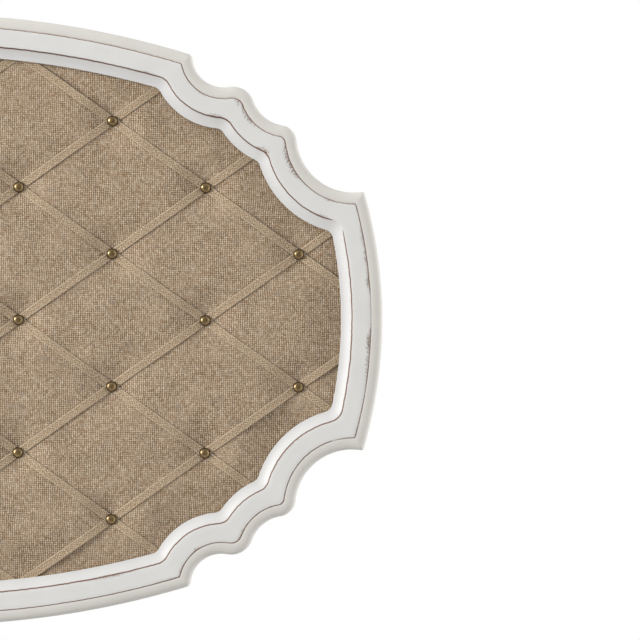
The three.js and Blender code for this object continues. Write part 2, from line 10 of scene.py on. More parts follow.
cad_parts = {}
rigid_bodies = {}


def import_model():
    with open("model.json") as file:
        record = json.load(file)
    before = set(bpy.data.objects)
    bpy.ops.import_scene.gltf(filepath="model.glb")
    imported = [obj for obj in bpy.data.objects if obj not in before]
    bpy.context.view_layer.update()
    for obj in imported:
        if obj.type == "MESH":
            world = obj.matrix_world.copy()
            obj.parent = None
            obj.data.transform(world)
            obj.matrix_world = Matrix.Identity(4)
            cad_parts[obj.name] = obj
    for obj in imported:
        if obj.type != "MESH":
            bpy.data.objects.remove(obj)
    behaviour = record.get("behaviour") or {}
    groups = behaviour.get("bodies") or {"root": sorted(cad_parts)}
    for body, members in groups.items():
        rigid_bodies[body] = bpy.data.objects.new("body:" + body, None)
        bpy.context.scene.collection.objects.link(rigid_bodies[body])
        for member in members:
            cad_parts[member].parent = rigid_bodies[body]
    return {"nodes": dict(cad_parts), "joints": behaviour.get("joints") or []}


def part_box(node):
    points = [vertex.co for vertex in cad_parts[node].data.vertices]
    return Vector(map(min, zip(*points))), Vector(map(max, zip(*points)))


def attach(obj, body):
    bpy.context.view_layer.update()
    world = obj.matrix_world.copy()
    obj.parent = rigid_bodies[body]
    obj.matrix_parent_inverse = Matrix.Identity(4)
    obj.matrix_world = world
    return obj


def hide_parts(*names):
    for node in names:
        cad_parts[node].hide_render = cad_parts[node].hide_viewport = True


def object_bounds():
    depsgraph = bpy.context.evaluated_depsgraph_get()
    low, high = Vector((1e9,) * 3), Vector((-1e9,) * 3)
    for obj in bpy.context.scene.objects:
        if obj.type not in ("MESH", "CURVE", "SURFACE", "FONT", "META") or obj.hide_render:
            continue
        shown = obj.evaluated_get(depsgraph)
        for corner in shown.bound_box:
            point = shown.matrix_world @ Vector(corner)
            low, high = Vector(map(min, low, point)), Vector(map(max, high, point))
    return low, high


bl_info = {
    "name": "French memo board",
    "version": (1, 0, 0),
    "blender": (4, 5, 0),
    "location": "View3D > Sidebar > Memo board",
    "description": "Dresses the solids of a scalloped memo board with its finished pieces",
    "category": "Object",
}

# Blender starts with a cube, a lamp and a camera of its own.
for startup_object in list(bpy.data.objects):
    bpy.data.objects.remove(startup_object)
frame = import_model()
CAD_BOX = [list(corner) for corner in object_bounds()]
MM = 0.001

# Depths of the solids, from the moulding's face back.
FACE_Y = CAD_BOX[0][1]
CLOTH_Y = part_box("burlap_cover")[0][1]
PADDING_BACK_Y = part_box("padding")[1][1]
CORE_BACK_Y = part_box("panel_core")[1][1]
PANEL_FRONT_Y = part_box("back_panel")[0][1]
FRAME_BACK_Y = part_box("top_rail")[1][1]

# The outline's arcs repeat the solids' own: each scallop is its centre's distance in from the
# frame's side and top, and its radius.
RAIL_RADIUS = 906.5 * MM
STILE_RADIUS = 458.3 * MM
SCALLOPS = np.array(((160, 41.3, 31.1), (95.2, 74.2, 36.5), (29.7, 120.4, 56.8))) * MM

# How round the points between the arcs are: each its own at the outer edge, and alike further in.
OUTER_POINT_RADII = np.array((6, 22, 18, 3)) * MM
LEAST_POINT_RADIUS = 1.5 * MM
FLAT_POINT_RADIUS = 16 * MM
SIGHT_POINT_RADIUS = 10 * MM
RABBET_POINT_RADIUS = 14 * MM

# Facets along each arc and point in a quarter of the outline.
MOULDING_FACETS = {"rail": 60, "scallop": 28, "points": (8, 14, 14, 8), "stile": 50}
CLOTH_FACETS = {"rail": 30, "scallop": 14, "points": (4, 6, 6, 4), "stile": 24}

# The tacks stand in staggered columns and rows.
TACK_COLUMNS = 9
TACK_ROWS = 7

# Where the paint is rubbed most beside each groove: X, Z, reach in millimetres, and how much.
OUTER_RUBS = (
    (277, 230, 9, 0.5),
    (314, 220, 4, 0.7),
    (323, 206, 15, 1.1),
    (362, 172, 9, 0.7),
    (368, 155, 16, 1.2),
    (405, 120, 7, 0.6),
    (427, 116, 5, 0.4),
    (437, 87, 10, 0.75),
    (441, 65, 11, 0.7),
    (444, 40, 12, 0.9),
    (446, -20, 12, 1.1),
    (444, -46, 17, 0.8),
    (430, -112, 10, 0.5),
    (318, -214, 9, 0.6),
    (273, -229, 6, 0.8),
    (247, -252, 20, 0.6),
)
INNER_RUBS = (
    (222, 246, 12, 0.6),
    (288, 202, 9, 0.9),
    (338, 170, 9, 1.1),
    (398, 105, 8, 0.7),
    (371, -133, 30, 0.6),
    (186, -259, 28, 0.7),
    (40, -275, 30, 0.4),
)
# Where the paint over each groove is sound, with how much of the wear that takes away.
OUTER_SOUND = ((446, 14, 14, 1.5), (413, -121, 4, 1.5))
INNER_SOUND = ((413, 95, 9, 1.5), (232, 236, 6, 1.5))

# Noise lies mostly between these two levels.
NOISE_LOW = 0.3
NOISE_HIGH = 0.7


def linear(hex_colour):
    """An sRGB hex colour as linear red, green, blue and full cover."""
    parts = [int(hex_colour[k : k + 2], 16) / 255 for k in (1, 3, 5)]
    return [c / 12.92 if c <= 0.04045 else ((c + 0.055) / 1.055) ** 2.4 for c in parts] + [1.0]


def length(label, says, millimetres):
    """A length that a user may change."""
    return bpy.props.FloatProperty(
        name=label, description=says, default=millimetres * MM, min=0, precision=5, unit="LENGTH"
    )


def colour(label, says, hex_colour):
    """A colour that a user may change."""
    return bpy.props.FloatVectorProperty(
        name=label, description=says, default=linear(hex_colour), size=4, min=0, max=1, subtype="COLOR"
    )


class MouldingSettings(bpy.types.PropertyGroup):
    """Sizes and paint of the scalloped moulding."""

    bead_width: length("Bead width", "Width of the rounded outer edge", 11.3)
    flat_width: length("Flat width", "Width of the flat between the two grooves", 19)
    cove_width: length("Cove width", "Width of the hollow down to the sight edge", 11.1)
    bead_drop: length("Bead drop", "How far the bead rolls back at the outer edge", 8)
    quirk: length("Quirk", "Depth of the small step beside the flat", 1.2)
    cove_drop: length("Cove drop", "How far the sight edge lies behind the flat", 7)
    lip: length("Lip thickness", "Thickness of the sight edge", 3)
    ledge: length("Rabbet ledge", "Width of the ledge that holds the panel", 10)
    rebate: length("Rebate ledge", "Width of the ledge that holds the back panel", 9)
    # One paint covers the moulding: the bead's and the cove's tones, darker than the flat's, are
    # painted shade set by how each part faces the lamps.
    shaded_bead_paint: colour("Bead paint", "Paint on the rounded outer edge", "#d5d2cb")
    flat_paint: colour("Flat paint", "Paint on the flat", "#d9d8d5")
    shaded_cove_paint: colour("Cove paint", "Paint in the hollow", "#d6d5d3")
    bare_board: colour("Bare board", "Board that shows where the outer groove is worn", "#80573a")
    # The inner groove shows the same board as the outer, painted darker as shade of the deeper groove.
    shaded_deep_board: colour("Deep board", "Board that shows in the deeper inner groove", "#69452b")
    rubbed_paint: colour("Rubbed paint", "Thin paint beside the worn grooves", "#7d6858")

    @property
    def cove_start(self):
        """Inset of the inner groove, where the flat ends and the cove starts."""
        return self.bead_width + self.flat_width

    @property
    def mid_flat(self):
        """Inset of the middle of the flat."""
        return (self.bead_width + self.cove_start) / 2

    @property
    def rabbet(self):
        """Inset of the rabbet behind the sight edge."""
        return self.cove_start + self.cove_width - self.ledge


class PanelSettings(bpy.types.PropertyGroup):
    """Sizes and colours of the padded burlap panel."""

    inset: length("Cloth inset", "Distance from the frame's outline to the wrapped cloth", 32.4)
    core_inset: length("Core inset", "Distance from the frame's outline to the padding's edge", 33.5)
    cloth_thickness: length("Cloth thickness", "Thickness of the burlap", 0.8)
    edge_turn: length("Edge turn", "Radius where the cloth turns round the panel's edge", 1.6)
    grid: length("Cloth grid", "Spacing of the points on the cloth", 4)
    tuft_depth: length("Tuft depth", "How far a tack draws the cloth in", 2.6)
    tuft_radius: length("Tuft radius", "How far from a tack the cloth is drawn in", 39)
    arch: length("Arch", "How far the padding stands out between the tacks", 6.5)
    swell: length("Swell", "How much further it stands out between the tapes", 0.6)
    thread_pitch: length("Thread pitch", "Spacing of the burlap's threads", 2.1)
    pale_thread: colour("Pale thread", "Palest jute thread", "#d8c5ae")
    dark_thread: colour("Dark thread", "Darkest jute thread", "#a98d6c")
    gap_shade: colour("Gap shade", "Shade between the threads", "#402f1e")
    warm_fleck: colour("Warm fleck", "Bark left in the jute", "#a06f45")
    grey_fleck: colour("Grey fleck", "Weathered jute", "#958b7f")
    batting: colour("Batting", "Polyester batting", "#eeebe4")
    fibreboard: colour("Fibreboard", "Soft fibreboard of the core", "#9a8468")
    hardboard: colour("Hardboard", "Pressed hardboard of the back", "#6d4a32")


class TapeSettings(bpy.types.PropertyGroup):
    """Sizes and colours of the crossing burlap tapes."""

    width: length("Tape width", "Width of the tape", 8)
    thickness: length("Tape thickness", "Thickness of the tape between its folded edges", 0.75)
    fold: length("Folded edge", "How far the folded edges stand above the tape's middle", 0.2)
    bedding: length("Bedding", "Distance between the tape and the cloth", 0.15)
    rising_tilt: length("Rising tilt", "How far one edge of a rising tape stands off the cloth", 0.5)
    falling_tilt: length("Falling tilt", "How far one edge of a falling tape stands off the cloth", 0.8)
    step: length("Tape step", "Spacing of the points along a tape", 2)
    pale: colour("Pale tape", "Palest thread of the tape", "#ccbca4")
    dark: colour("Dark tape", "Darkest thread of the tape", "#846848")


class FittingSettings(bpy.types.PropertyGroup):
    """Sizes and colours of the tacks, screws, rings and bumpers."""

    head_height: length("Tack dome", "Height of a tack's head", 4)
    head_rim: length("Tack rim", "Height of the rim under a tack's dome", 0.5)
    shank: length("Tack shank", "Width of a tack's shank", 1.8)
    wire: length("Ring wire", "Thickness of the D ring's wire", 2.5)
    ring_width: length("Ring width", "Width of the D ring between its wires' middles", 17)
    ring_leg: length("Ring leg", "Length of the D ring's straight legs", 9)
    ring_bend: length("Ring bend", "Radius of the D ring's upper corners", 2.8)
    brass: colour("Brass", "Rubbed brass", "#967d55")
    patina: colour("Patina", "Darkened brass", "#33281a")
    zinc: colour("Zinc", "Zinc plated steel", "#c3c4c2")
    rubber: colour("Rubber", "Moulded rubber", "#2c2b2a")


class StageSettings(bpy.types.PropertyGroup):
    """The camera's frame, the floor and the lights."""

    frame_width: length("Frame width", "Width that the camera sees at the moulding's face", 640)
    middle_x: length("Middle", "X of the middle of the camera's frame", 395.8)
    middle_z: length("Height", "Z of the middle of the camera's frame", 0.9)
    roll: bpy.props.FloatProperty(
        name="Roll",
        description="How far the camera is turned",
        default=math.radians(-0.2),
        unit="ROTATION",
    )
    distance: length("Distance", "Camera's distance from the moulding's face", 6000)
    floor_drop: length("Floor drop", "Depth of the floor below the middle of the board", 500)
    floor: colour("Floor", "Matt floor", "#ecebe8")
    key: bpy.props.FloatProperty(
        name="Key light", description="Power of the soft light at the left", default=660, unit="POWER"
    )
    top: bpy.props.FloatProperty(
        name="Top light", description="Power of the soft light overhead", default=6, unit="POWER"
    )


def nodes_with(word):
    """The names of the frame's nodes that hold a word."""
    return [name for name in frame["nodes"] if word in name]


def box_middle(node):
    """The middle of a node's box in X and Z."""
    low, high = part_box(node)
    return (low[0] + high[0]) / 2, (low[2] + high[2]) / 2


def smooth_step(share):
    """A ramp from 0 to 1 that starts and ends level."""
    share = np.clip(share, 0, 1)
    return share * share * (3 - 2 * share)


def circle_meet(first, second, near):
    """The crossing of two circles, each a centre and a radius, that lies nearer to a point."""
    span = second[0] - first[0]
    distance = np.linalg.norm(span)
    along = (first[1] ** 2 - second[1] ** 2 + distance**2) / (2 * distance)
    across = math.sqrt(first[1] ** 2 - along**2)
    unit = span / distance
    foot = first[0] + unit * along
    side = np.array((-unit[1], unit[0])) * across
    return min(foot + side, foot - side, key=lambda point: np.linalg.norm(point - near))


def arc_points(centre, start, end, steps):
    """Points from start towards end round a centre, the short way, without the last one."""
    radius = np.linalg.norm(start - centre)
    first = math.atan2(start[1] - centre[1], start[0] - centre[0])
    last = math.atan2(end[1] - centre[1], end[0] - centre[0])
    sweep = (last - first + math.pi) % (2 * math.pi) - math.pi
    angles = first + sweep * np.arange(steps) / steps
    return centre + radius * np.column_stack((np.cos(angles), np.sin(angles)))


def outline(inset, radii, facets):
    """The board's outline at an inset, clockwise from the top, as points in X and Z."""
    half = np.array((CAD_BOX[1][0], CAD_BOX[1][2]))
    # Each arc is its centre, its radius, 1 where it bulges or -1 where it is hollow, and its facets.
    arcs = [(np.array((0, half[1] - RAIL_RADIUS)), RAIL_RADIUS - inset, 1, facets["rail"])]
    for scallop in SCALLOPS:
        arcs.append((half - scallop[:2], scallop[2] + inset, -1, facets["scallop"]))
    arcs.append((np.array((half[0] - STILE_RADIUS, 0)), STILE_RADIUS - inset, 1, facets["stile"]))
    # Two circles cross twice: the centre that rounds each point is the crossing nearer to these.
    middle = np.zeros(2)
    nearest = (half * (0, 2), middle, middle, half * (2, 0))
    start = np.array((0, half[1] - inset))
    runs = []
    for k, (before, after) in enumerate(zip(arcs, arcs[1:])):
        inner = [(arc[0], arc[1] - arc[2] * radii[k]) for arc in (before, after)]
        centre = circle_meet(inner[0], inner[1], nearest[k])
        leave = before[0] + (centre - before[0]) * before[1] / inner[0][1]
        arrive = after[0] + (centre - after[0]) * after[1] / inner[1][1]
        runs.append(arc_points(before[0], start, leave, before[3]))
        runs.append(arc_points(centre, leave, arrive, facets["points"][k]))
        start = arrive
    end = np.array((half[0] - inset, 0))
    runs.append(arc_points(arcs[-1][0], start, end, arcs[-1][3]))
    quarter = np.vstack(runs)
    right = np.vstack((quarter, [end], quarter[:0:-1] * (1, -1)))
    return np.vstack((right, -right))


def face_outline(inset, settings):
    """The outline on the moulding's face at an inset: its points run parallel to the outer edge on
    the bead, then get rounder over the flat and sharper again over the cove."""
    radii = np.maximum(OUTER_POINT_RADII - min(inset, settings.bead_width), LEAST_POINT_RADIUS)
    flat = np.full(4, FLAT_POINT_RADIUS)
    sight = np.full(4, SIGHT_POINT_RADIUS)
    if inset > settings.cove_start:
        radii = flat + (sight - flat) * (inset - settings.cove_start) / settings.cove_width
    elif inset > settings.bead_width:
        radii = radii + (flat - radii) * (inset - settings.bead_width) / settings.flat_width
    return outline(inset, radii, MOULDING_FACETS)


def back_outline(inset, rabbet, facets):
    """The outline of what lies behind the lip, whose points are rounder further out."""
    radius = max(RABBET_POINT_RADIUS + rabbet - inset, LEAST_POINT_RADIUS)
    return outline(inset, [radius] * 4, facets)


def panel_outline(inset):
    """The outline of the cloth or the padding at an inset."""
    return back_outline(inset, bpy.context.scene.memo_moulding.rabbet, CLOTH_FACETS)


def to_outline(points, edge):
    """How far each point is from the nearest point of an outline."""
    return np.array([np.linalg.norm(edge - point, axis=1).min() for point in points])


def grid_faces(rows, columns, closed_rows, closed_columns):
    """Faces over a grid of points, and the row and column corner that each face starts from."""
    starts = [
        (r, c)
        for r in range(rows if closed_rows else rows - 1)
        for c in range(columns if closed_columns else columns - 1)
    ]
    faces = []
    for r, c in starts:
        below = (r + 1) % rows * columns
        beside = (c + 1) % columns
        faces.append((r * columns + c, below + c, below + beside, r * columns + beside))
    return faces, starts


def turned(profile, sides):
    """Points and faces of a profile of (radius, depth) turned about the Y axis, closed at both ends."""
    angles = np.arange(sides) * 2 * math.pi / sides
    points = [(r * math.cos(a), y, r * math.sin(a)) for r, y in profile for a in angles]
    faces, _ = grid_faces(len(profile), sides, False, True)
    last = (len(profile) - 1) * sides
    faces.append(tuple(range(sides)))
    faces.append(tuple(range(last + sides - 1, last - 1, -1)))
    return points, faces


def new_piece(name, points, faces, material, body="board", crease=None):
    """A smooth mesh object that rides on a body, with sharp edges past a crease in degrees."""
    mesh = bpy.data.meshes.new(name)
    mesh.from_pydata([tuple(point) for point in points], [], faces)
    mesh.validate()
    mesh.shade_smooth()
    if crease:
        mesh.set_sharp_from_angle(angle=math.radians(crease))
    mesh.materials.append(material)
    piece = bpy.data.objects.new(name, mesh)
    bpy.context.scene.collection.objects.link(piece)
    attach(piece, body)
    return piece


def lay_run(piece, starts, along, across):
    """A UV map in metres along and across a grid's run."""
    layer = piece.data.uv_layers.new(name="run")
    corners = []
    for r, c in starts:
        for row, column in ((r, c), (r + 1, c), (r + 1, c + 1), (r, c + 1)):
            corners.append((along[column], across[row]))
    whole = np.zeros((len(layer.data), 2), dtype=np.float32)
    whole[: len(corners)] = corners
    layer.data.foreach_set("uv", whole.ravel())


def add(tree, kind, inputs, out=0, **settings):
    """Adds a node, sets its properties, fills or links its inputs and gives one of its outputs.

    Inputs go by name or number. A MapRange takes its value at 0, its range at 1 and 2 and the new
    range at 3 and 4. A Mix takes its share at 0 and two colours at 6 and 7, and gives output 2.
    """
    made = tree.nodes.new("ShaderNode" + kind)
    for key, value in settings.items():
        setattr(made, key, value)
    for key, value in inputs.items():
        if isinstance(value, bpy.types.NodeSocket):
            tree.links.new(value, made.inputs[key])
        else:
            made.inputs[key].default_value = value
    return made.outputs[out] if made.outputs else None


def new_material(name):
    """An empty node material and its tree."""
    material = bpy.data.materials.new(name)
    material.use_nodes = True
    material.node_tree.nodes.clear()
    return material, material.node_tree


def mottle(tree, place, shade, size, levels, grain):
    """A shade that varies between two levels in patches of a real size, and the patches' noise."""
    patches = add(tree, "TexNoise", {"Vector": place, "Scale": 1 / size, **grain})
    level = add(
        tree, "MapRange", {0: patches, 1: NOISE_LOW, 2: NOISE_HIGH, 3: levels[0], 4: levels[1]}
    )
    return add(tree, "VectorMath", {0: shade, "Scale": level}, operation="SCALE"), patches


def streaks(tree, run, along, across, grain):
    """Noise in streaks of a real size along a run and across it."""
    counts = add(tree, "VectorMath", {0: run, 1: (1 / along, 1 / across, 1)}, operation="MULTIPLY")
    return add(tree, "TexNoise", {"Vector": counts, "Scale": 1, **grain})


def groove_wear(tree, run, inset, settings):
    """How far the paint is worn through along the two grooves, and how thin it is beside them."""
    wear = add(tree, "Attribute", {}, attribute_name="wear")
    shares = add(tree, "SeparateColor", {0: wear}).node.outputs
    # Each groove has its inset, the side that its flat is on, how wide its line gets, and the
    # attribute's shares of wear in the line and of rubbing beside it.
    grooves = (
        (settings.bead_width + 0.4 * MM, 1, 0.5 * MM, shares[0], shares[1]),
        (settings.cove_start + 0.2 * MM, -1, 1 * MM, shares[2], wear.node.outputs["Alpha"]),
    )
    # The line wobbles over 5 mm, its breaks are about 2 mm, and a hair is about 0.5 mm wide and
    # 4 mm long.
    wobble = streaks(tree, run, 5 * MM, 20 * MM, {"Detail": 3})
    breaks = streaks(tree, run, 2 * MM, 2 * MM, {"Detail": 2})
    hair = streaks(tree, run, 0.9 * MM, 4 * MM, {"Detail": 3, "Roughness": 0.7})
    strands = add(tree, "MapRange", {0: hair, 1: 0.42, 2: 0.56}, interpolation_type="SMOOTHSTEP")
    shift = add(tree, "Math", {0: wobble, 1: 1.2 * MM, 2: -0.7 * MM}, operation="MULTIPLY_ADD")
    bare_half = 0.1 * MM
    least_edge = 0.3 * MM
    least_reach = 0.3 * MM
    most_reach = 9 * MM
    worn = 0.0
    thin = 0.0
    for place, side, width, sharp, rubbed in grooves:
        away = add(tree, "Math", {0: inset, 1: side, 2: -side * place}, operation="MULTIPLY_ADD")
        middle = add(tree, "Math", {0: away, 1: shift}, operation="ADD")
        middle = add(tree, "Math", {0: middle}, operation="ABSOLUTE")
        edge = add(tree, "Math", {0: sharp, 1: width, 2: least_edge}, operation="MULTIPLY_ADD")
        ramp = {1: bare_half, 2: edge, 3: 1, 4: 0}
        line = add(tree, "MapRange", {0: middle, **ramp}, interpolation_type="SMOOTHSTEP")
        broken = add(tree, "Math", {0: breaks, 1: sharp}, operation="ADD")
        broken = add(tree, "MapRange", {0: broken, 1: 0.5, 2: 0.8}, interpolation_type="SMOOTHSTEP")
        line = add(tree, "Math", {0: line, 1: broken}, operation="MULTIPLY")
        worn = add(tree, "Math", {0: line, 1: worn}, operation="MAXIMUM")
        reach = add(tree, "Math", {0: rubbed, 1: breaks}, operation="MULTIPLY")
        reach = add(tree, "Math", {0: reach, 1: most_reach, 2: least_reach}, operation="MULTIPLY_ADD")
        fringe = add(tree, "MapRange", {0: away, 1: 0, 2: reach, 3: 1.5, 4: 0})
        flat_side = add(tree, "Math", {0: away, 1: 0}, operation="GREATER_THAN")
        for share in (rubbed, flat_side, strands):
            fringe = add(tree, "Math", {0: fringe, 1: share}, operation="MULTIPLY", use_clamp=True)
        thin = add(tree, "Math", {0: fringe, 1: thin}, operation="MAXIMUM")
    return worn, thin


def worn_paint(settings):
    """Rolled satin paint on routed fibreboard: even and slightly soft, worn through to brown
    board in thin ragged lines along the two grooves, with hairs of thin paint beside them. The
    bead and the cove are toned with painted shade."""
    material, tree = new_material("worn satin paint")
    run = add(tree, "UVMap", {}, uv_map="run")
    inset = add(tree, "SeparateXYZ", {0: run}, 1)
    worn, thin = groove_wear(tree, run, inset, settings)
    past_bead, past_middle, past_flat = (
        add(tree, "Math", {0: inset, 1: line}, operation="GREATER_THAN")
        for line in (settings.bead_width, settings.mid_flat, settings.cove_start)
    )
    # The bead and the cove get painted shade over the flat's paint.
    paint = settings.shaded_bead_paint
    for share, coat in ((past_bead, settings.flat_paint), (past_flat, settings.shaded_cove_paint)):
        paint = add(tree, "Mix", {0: share, 6: paint, 7: coat}, 2, data_type="RGBA")
    # Rolled paint gathers and thins over about 30 mm.
    paint, _ = mottle(tree, run, paint, 30 * MM, (0.97, 1.02), {"Detail": 3})
    # The board in the inner groove is darker by painted shade.
    shades = {6: settings.bare_board, 7: settings.shaded_deep_board}
    board = add(tree, "Mix", {0: past_middle, **shades}, 2, data_type="RGBA")
    for share, coat in ((thin, settings.rubbed_paint), (worn, board)):
        paint = add(tree, "Mix", {0: share, 6: paint, 7: coat}, 2, data_type="RGBA")
    # Roller stipple is about 0.6 mm wide and drawn out along the run.
    stipple = streaks(tree, run, 3 * MM, 0.6 * MM, {"Detail": 3})
    worn_depth = add(tree, "Math", {0: worn, 1: -4, 2: stipple}, operation="MULTIPLY_ADD")
    bump = add(tree, "Bump", {"Strength": 0.35, "Distance": 0.08 * MM, "Height": worn_depth})
    gloss = add(tree, "MapRange", {0: stipple, 1: NOISE_LOW, 2: NOISE_HIGH, 3: 0.42, 4: 0.52})
    gloss = add(tree, "Math", {0: worn, 1: 0.4, 2: gloss}, operation="MULTIPLY_ADD")
    look = {"Base Color": paint, "Roughness": gloss, "Normal": bump, "Specular IOR Level": 0.35}
    add(tree, "OutputMaterial", {"Surface": add(tree, "BsdfPrincipled", look)})
    return material


def burlap(settings):
    """Plain-woven jute burlap: thick, uneven threads over and under each other with dark gaps
    between them, slubs two or three threads long, and brown and grey flecks."""
    material, tree = new_material("plain woven jute burlap")
    pitch = settings.thread_pitch
    place = add(tree, "TexCoord", {}, "Object")
    # The threads wander by a thread or so over about 35 mm.
    drift = add(tree, "TexNoise", {"Vector": place, "Scale": 1 / (35 * MM), "Detail": 2}, "Color")
    drift = add(tree, "VectorMath", {0: drift, 1: (0.5, 0.5, 0.5)}, operation="SUBTRACT")
    drift = add(tree, "VectorMath", {0: drift, "Scale": 5 * MM}, operation="SCALE")
    woven = add(tree, "VectorMath", {0: place, 1: drift}, operation="ADD")
    woven = add(tree, "VectorMath", {0: woven, "Scale": 1 / pitch}, operation="SCALE")
    count_x = add(tree, "SeparateXYZ", {0: woven})
    count_z = count_x.node.outputs[2]
    waves = []
    tones = []
    for across, along, seed in ((count_x, count_z, 7.3), (count_z, count_x, 23.9)):
        angle = add(tree, "Math", {0: across, 1: math.pi}, operation="MULTIPLY")
        waves.append(add(tree, "Math", {0: angle}, operation="COSINE"))
        # Each thread has noise of its own along it, in slubs of between two and three threads.
        thread = add(tree, "Math", {0: across}, operation="ROUND")
        thread = add(tree, "Math", {0: thread, 1: 3.37, 2: seed}, operation="MULTIPLY_ADD")
        slub = add(tree, "Math", {0: along, 1: 0.42}, operation="MULTIPLY")
        spot = add(tree, "CombineXYZ", {0: thread, 1: slub})
        tones.append(add(tree, "TexNoise", {"Vector": spot, "Scale": 1, "Detail": 3, "Roughness": 0.6}))
    over = add(tree, "Math", {0: waves[0], 1: waves[1]}, operation="MULTIPLY")
    heights = []
    # The upright threads stand a little higher, and each set is over where the other is under.
    lifts = (0.69, 0.53)
    swings = (0.33, -0.33)
    for wave, tone, lift, above in zip(waves, tones, lifts, swings):
        round_thread = add(tree, "Math", {0: wave}, operation="ABSOLUTE")
        crossing = add(tree, "Math", {0: over, 1: above, 2: lift}, operation="MULTIPLY_ADD")
        thick = add(tree, "MapRange", {0: tone, 1: 0.25, 2: 0.75, 3: 0.75, 4: 1.2})
        crossing = add(tree, "Math", {0: crossing, 1: thick}, operation="MULTIPLY")
        heights.append(add(tree, "Math", {0: round_thread, 1: crossing}, operation="MULTIPLY"))
    height = add(tree, "Math", {0: heights[0], 1: heights[1]}, operation="MAXIMUM")
    lead = add(tree, "Math", {0: heights[0], 1: heights[1]}, operation="SUBTRACT")
    upright = add(tree, "MapRange", {0: lead, 1: -0.08, 2: 0.08}, interpolation_type="SMOOTHSTEP")
    tone = add(tree, "Mix", {0: upright, 2: tones[1], 3: tones[0]}, data_type="FLOAT")
    # Fibres are drawn about 0.5 mm wide, coarser than jute, so that they show.
    fibre_grain = {"Scale": 1 / (1.1 * MM), "Detail": 3, "Roughness": 0.7}
    fibres = add(tree, "TexNoise", {"Vector": place, **fibre_grain})
    tone = add(tree, "Math", {0: fibres, 1: 0.6, 2: tone}, operation="MULTIPLY_ADD")
    tone = add(tree, "MapRange", {0: tone, 1: 0.62, 2: 1.0})
    shades = {6: settings.dark_thread, 7: settings.pale_thread}
    jute = add(tree, "Mix", {0: tone, **shades}, 2, data_type="RGBA")
    # Each fleck has its size, the noise level where it starts, its share at most and its colour.
    flecks = (
        (3 * MM, 0.6, 0.55, settings.warm_fleck),
        (7 * MM, 0.58, 0.4, settings.grey_fleck),
    )
    for size, low, share, fleck in flecks:
        spots = add(tree, "TexNoise", {"Vector": woven, "Scale": pitch / size, "Detail": 3})
        spots = add(tree, "MapRange", {0: spots, 1: low, 2: low + 0.12, 3: 0, 4: share})
        jute = add(tree, "Mix", {0: spots, 6: jute, 7: fleck}, 2, data_type="RGBA")
    # The weave is looser in patches of about 30 mm, where more of the dark gaps show.
    loose = add(tree, "TexNoise", {"Vector": place, "Scale": 1 / (30 * MM), "Detail": 2})
    loose = add(tree, "MapRange", {0: loose, 1: 0.35, 2: 0.65, 3: 0.32, 4: 0.08})
    ramp = {1: 0.2, 2: 0.75, 3: loose, 4: 1}
    gap = add(tree, "MapRange", {0: height, **ramp}, interpolation_type="SMOOTHSTEP")
    jute = add(tree, "Mix", {0: gap, 6: settings.gap_shade, 7: jute}, 2, data_type="RGBA")
    bump = add(tree, "Bump", {"Strength": 0.7, "Distance": 0.6 * MM, "Height": height})
    look = {"Base Color": jute, "Roughness": 0.95, "Normal": bump, "Specular IOR Level": 0.15}
    add(tree, "OutputMaterial", {"Surface": add(tree, "BsdfPrincipled", look)})
    return material


def tape_weave(settings):
    """Closely woven jute tape with folded edges: paler and smoother than the cloth, with fine
    threads along it and a paler line along each fold."""
    material, tree = new_material("folded jute tape")
    run = add(tree, "UVMap", {}, uv_map="run")
    # Threads of 1.6 mm across and 1.4 mm along, coarser than the real tape so that they show.
    pitches = (1 / (1.6 * MM), 1 / (1.4 * MM), 1)
    counts = add(tree, "VectorMath", {0: run, 1: pitches}, operation="MULTIPLY")
    spun = add(tree, "SeparateXYZ", {0: counts})
    waves = []
    for count in (spun, spun.node.outputs[1]):
        angle = add(tree, "Math", {0: count, 1: math.pi}, operation="MULTIPLY")
        waves.append(add(tree, "Math", {0: angle}, operation="COSINE"))
    weave = add(tree, "Math", {0: waves[0], 1: waves[1]}, operation="MULTIPLY")
    slubs = streaks(tree, run, 1.7 * MM, 1.2 * MM, {"Detail": 2, "Roughness": 0.6})
    tone = add(tree, "Math", {0: weave, 1: 0.12, 2: slubs}, operation="MULTIPLY_ADD")
    across = add(tree, "SeparateXYZ", {0: run}, 1)
    across = add(tree, "Math", {0: across}, operation="ABSOLUTE")
    half = settings.width / 2
    ramp = {1: half * 0.68, 2: half * 0.84, 3: 0, 4: 0.08}
    fold = add(tree, "MapRange", {0: across, **ramp}, interpolation_type="SMOOTHSTEP")
    tone = add(tree, "Math", {0: tone, 1: fold}, operation="ADD")
    tone = add(tree, "MapRange", {0: tone, 1: 0.34, 2: 0.71})
    jute = add(tree, "Mix", {0: tone, 6: settings.dark, 7: settings.pale}, 2, data_type="RGBA")
    height = add(tree, "Math", {0: weave, 1: 0.5, 2: slubs}, operation="MULTIPLY_ADD")
    bump = add(tree, "Bump", {"Strength": 0.5, "Distance": 0.3 * MM, "Height": height})
    look = {"Base Color": jute, "Roughness": 0.9, "Normal": bump, "Specular IOR Level": 0.2}
    add(tree, "OutputMaterial", {"Surface": add(tree, "BsdfPrincipled", look)})
    return material


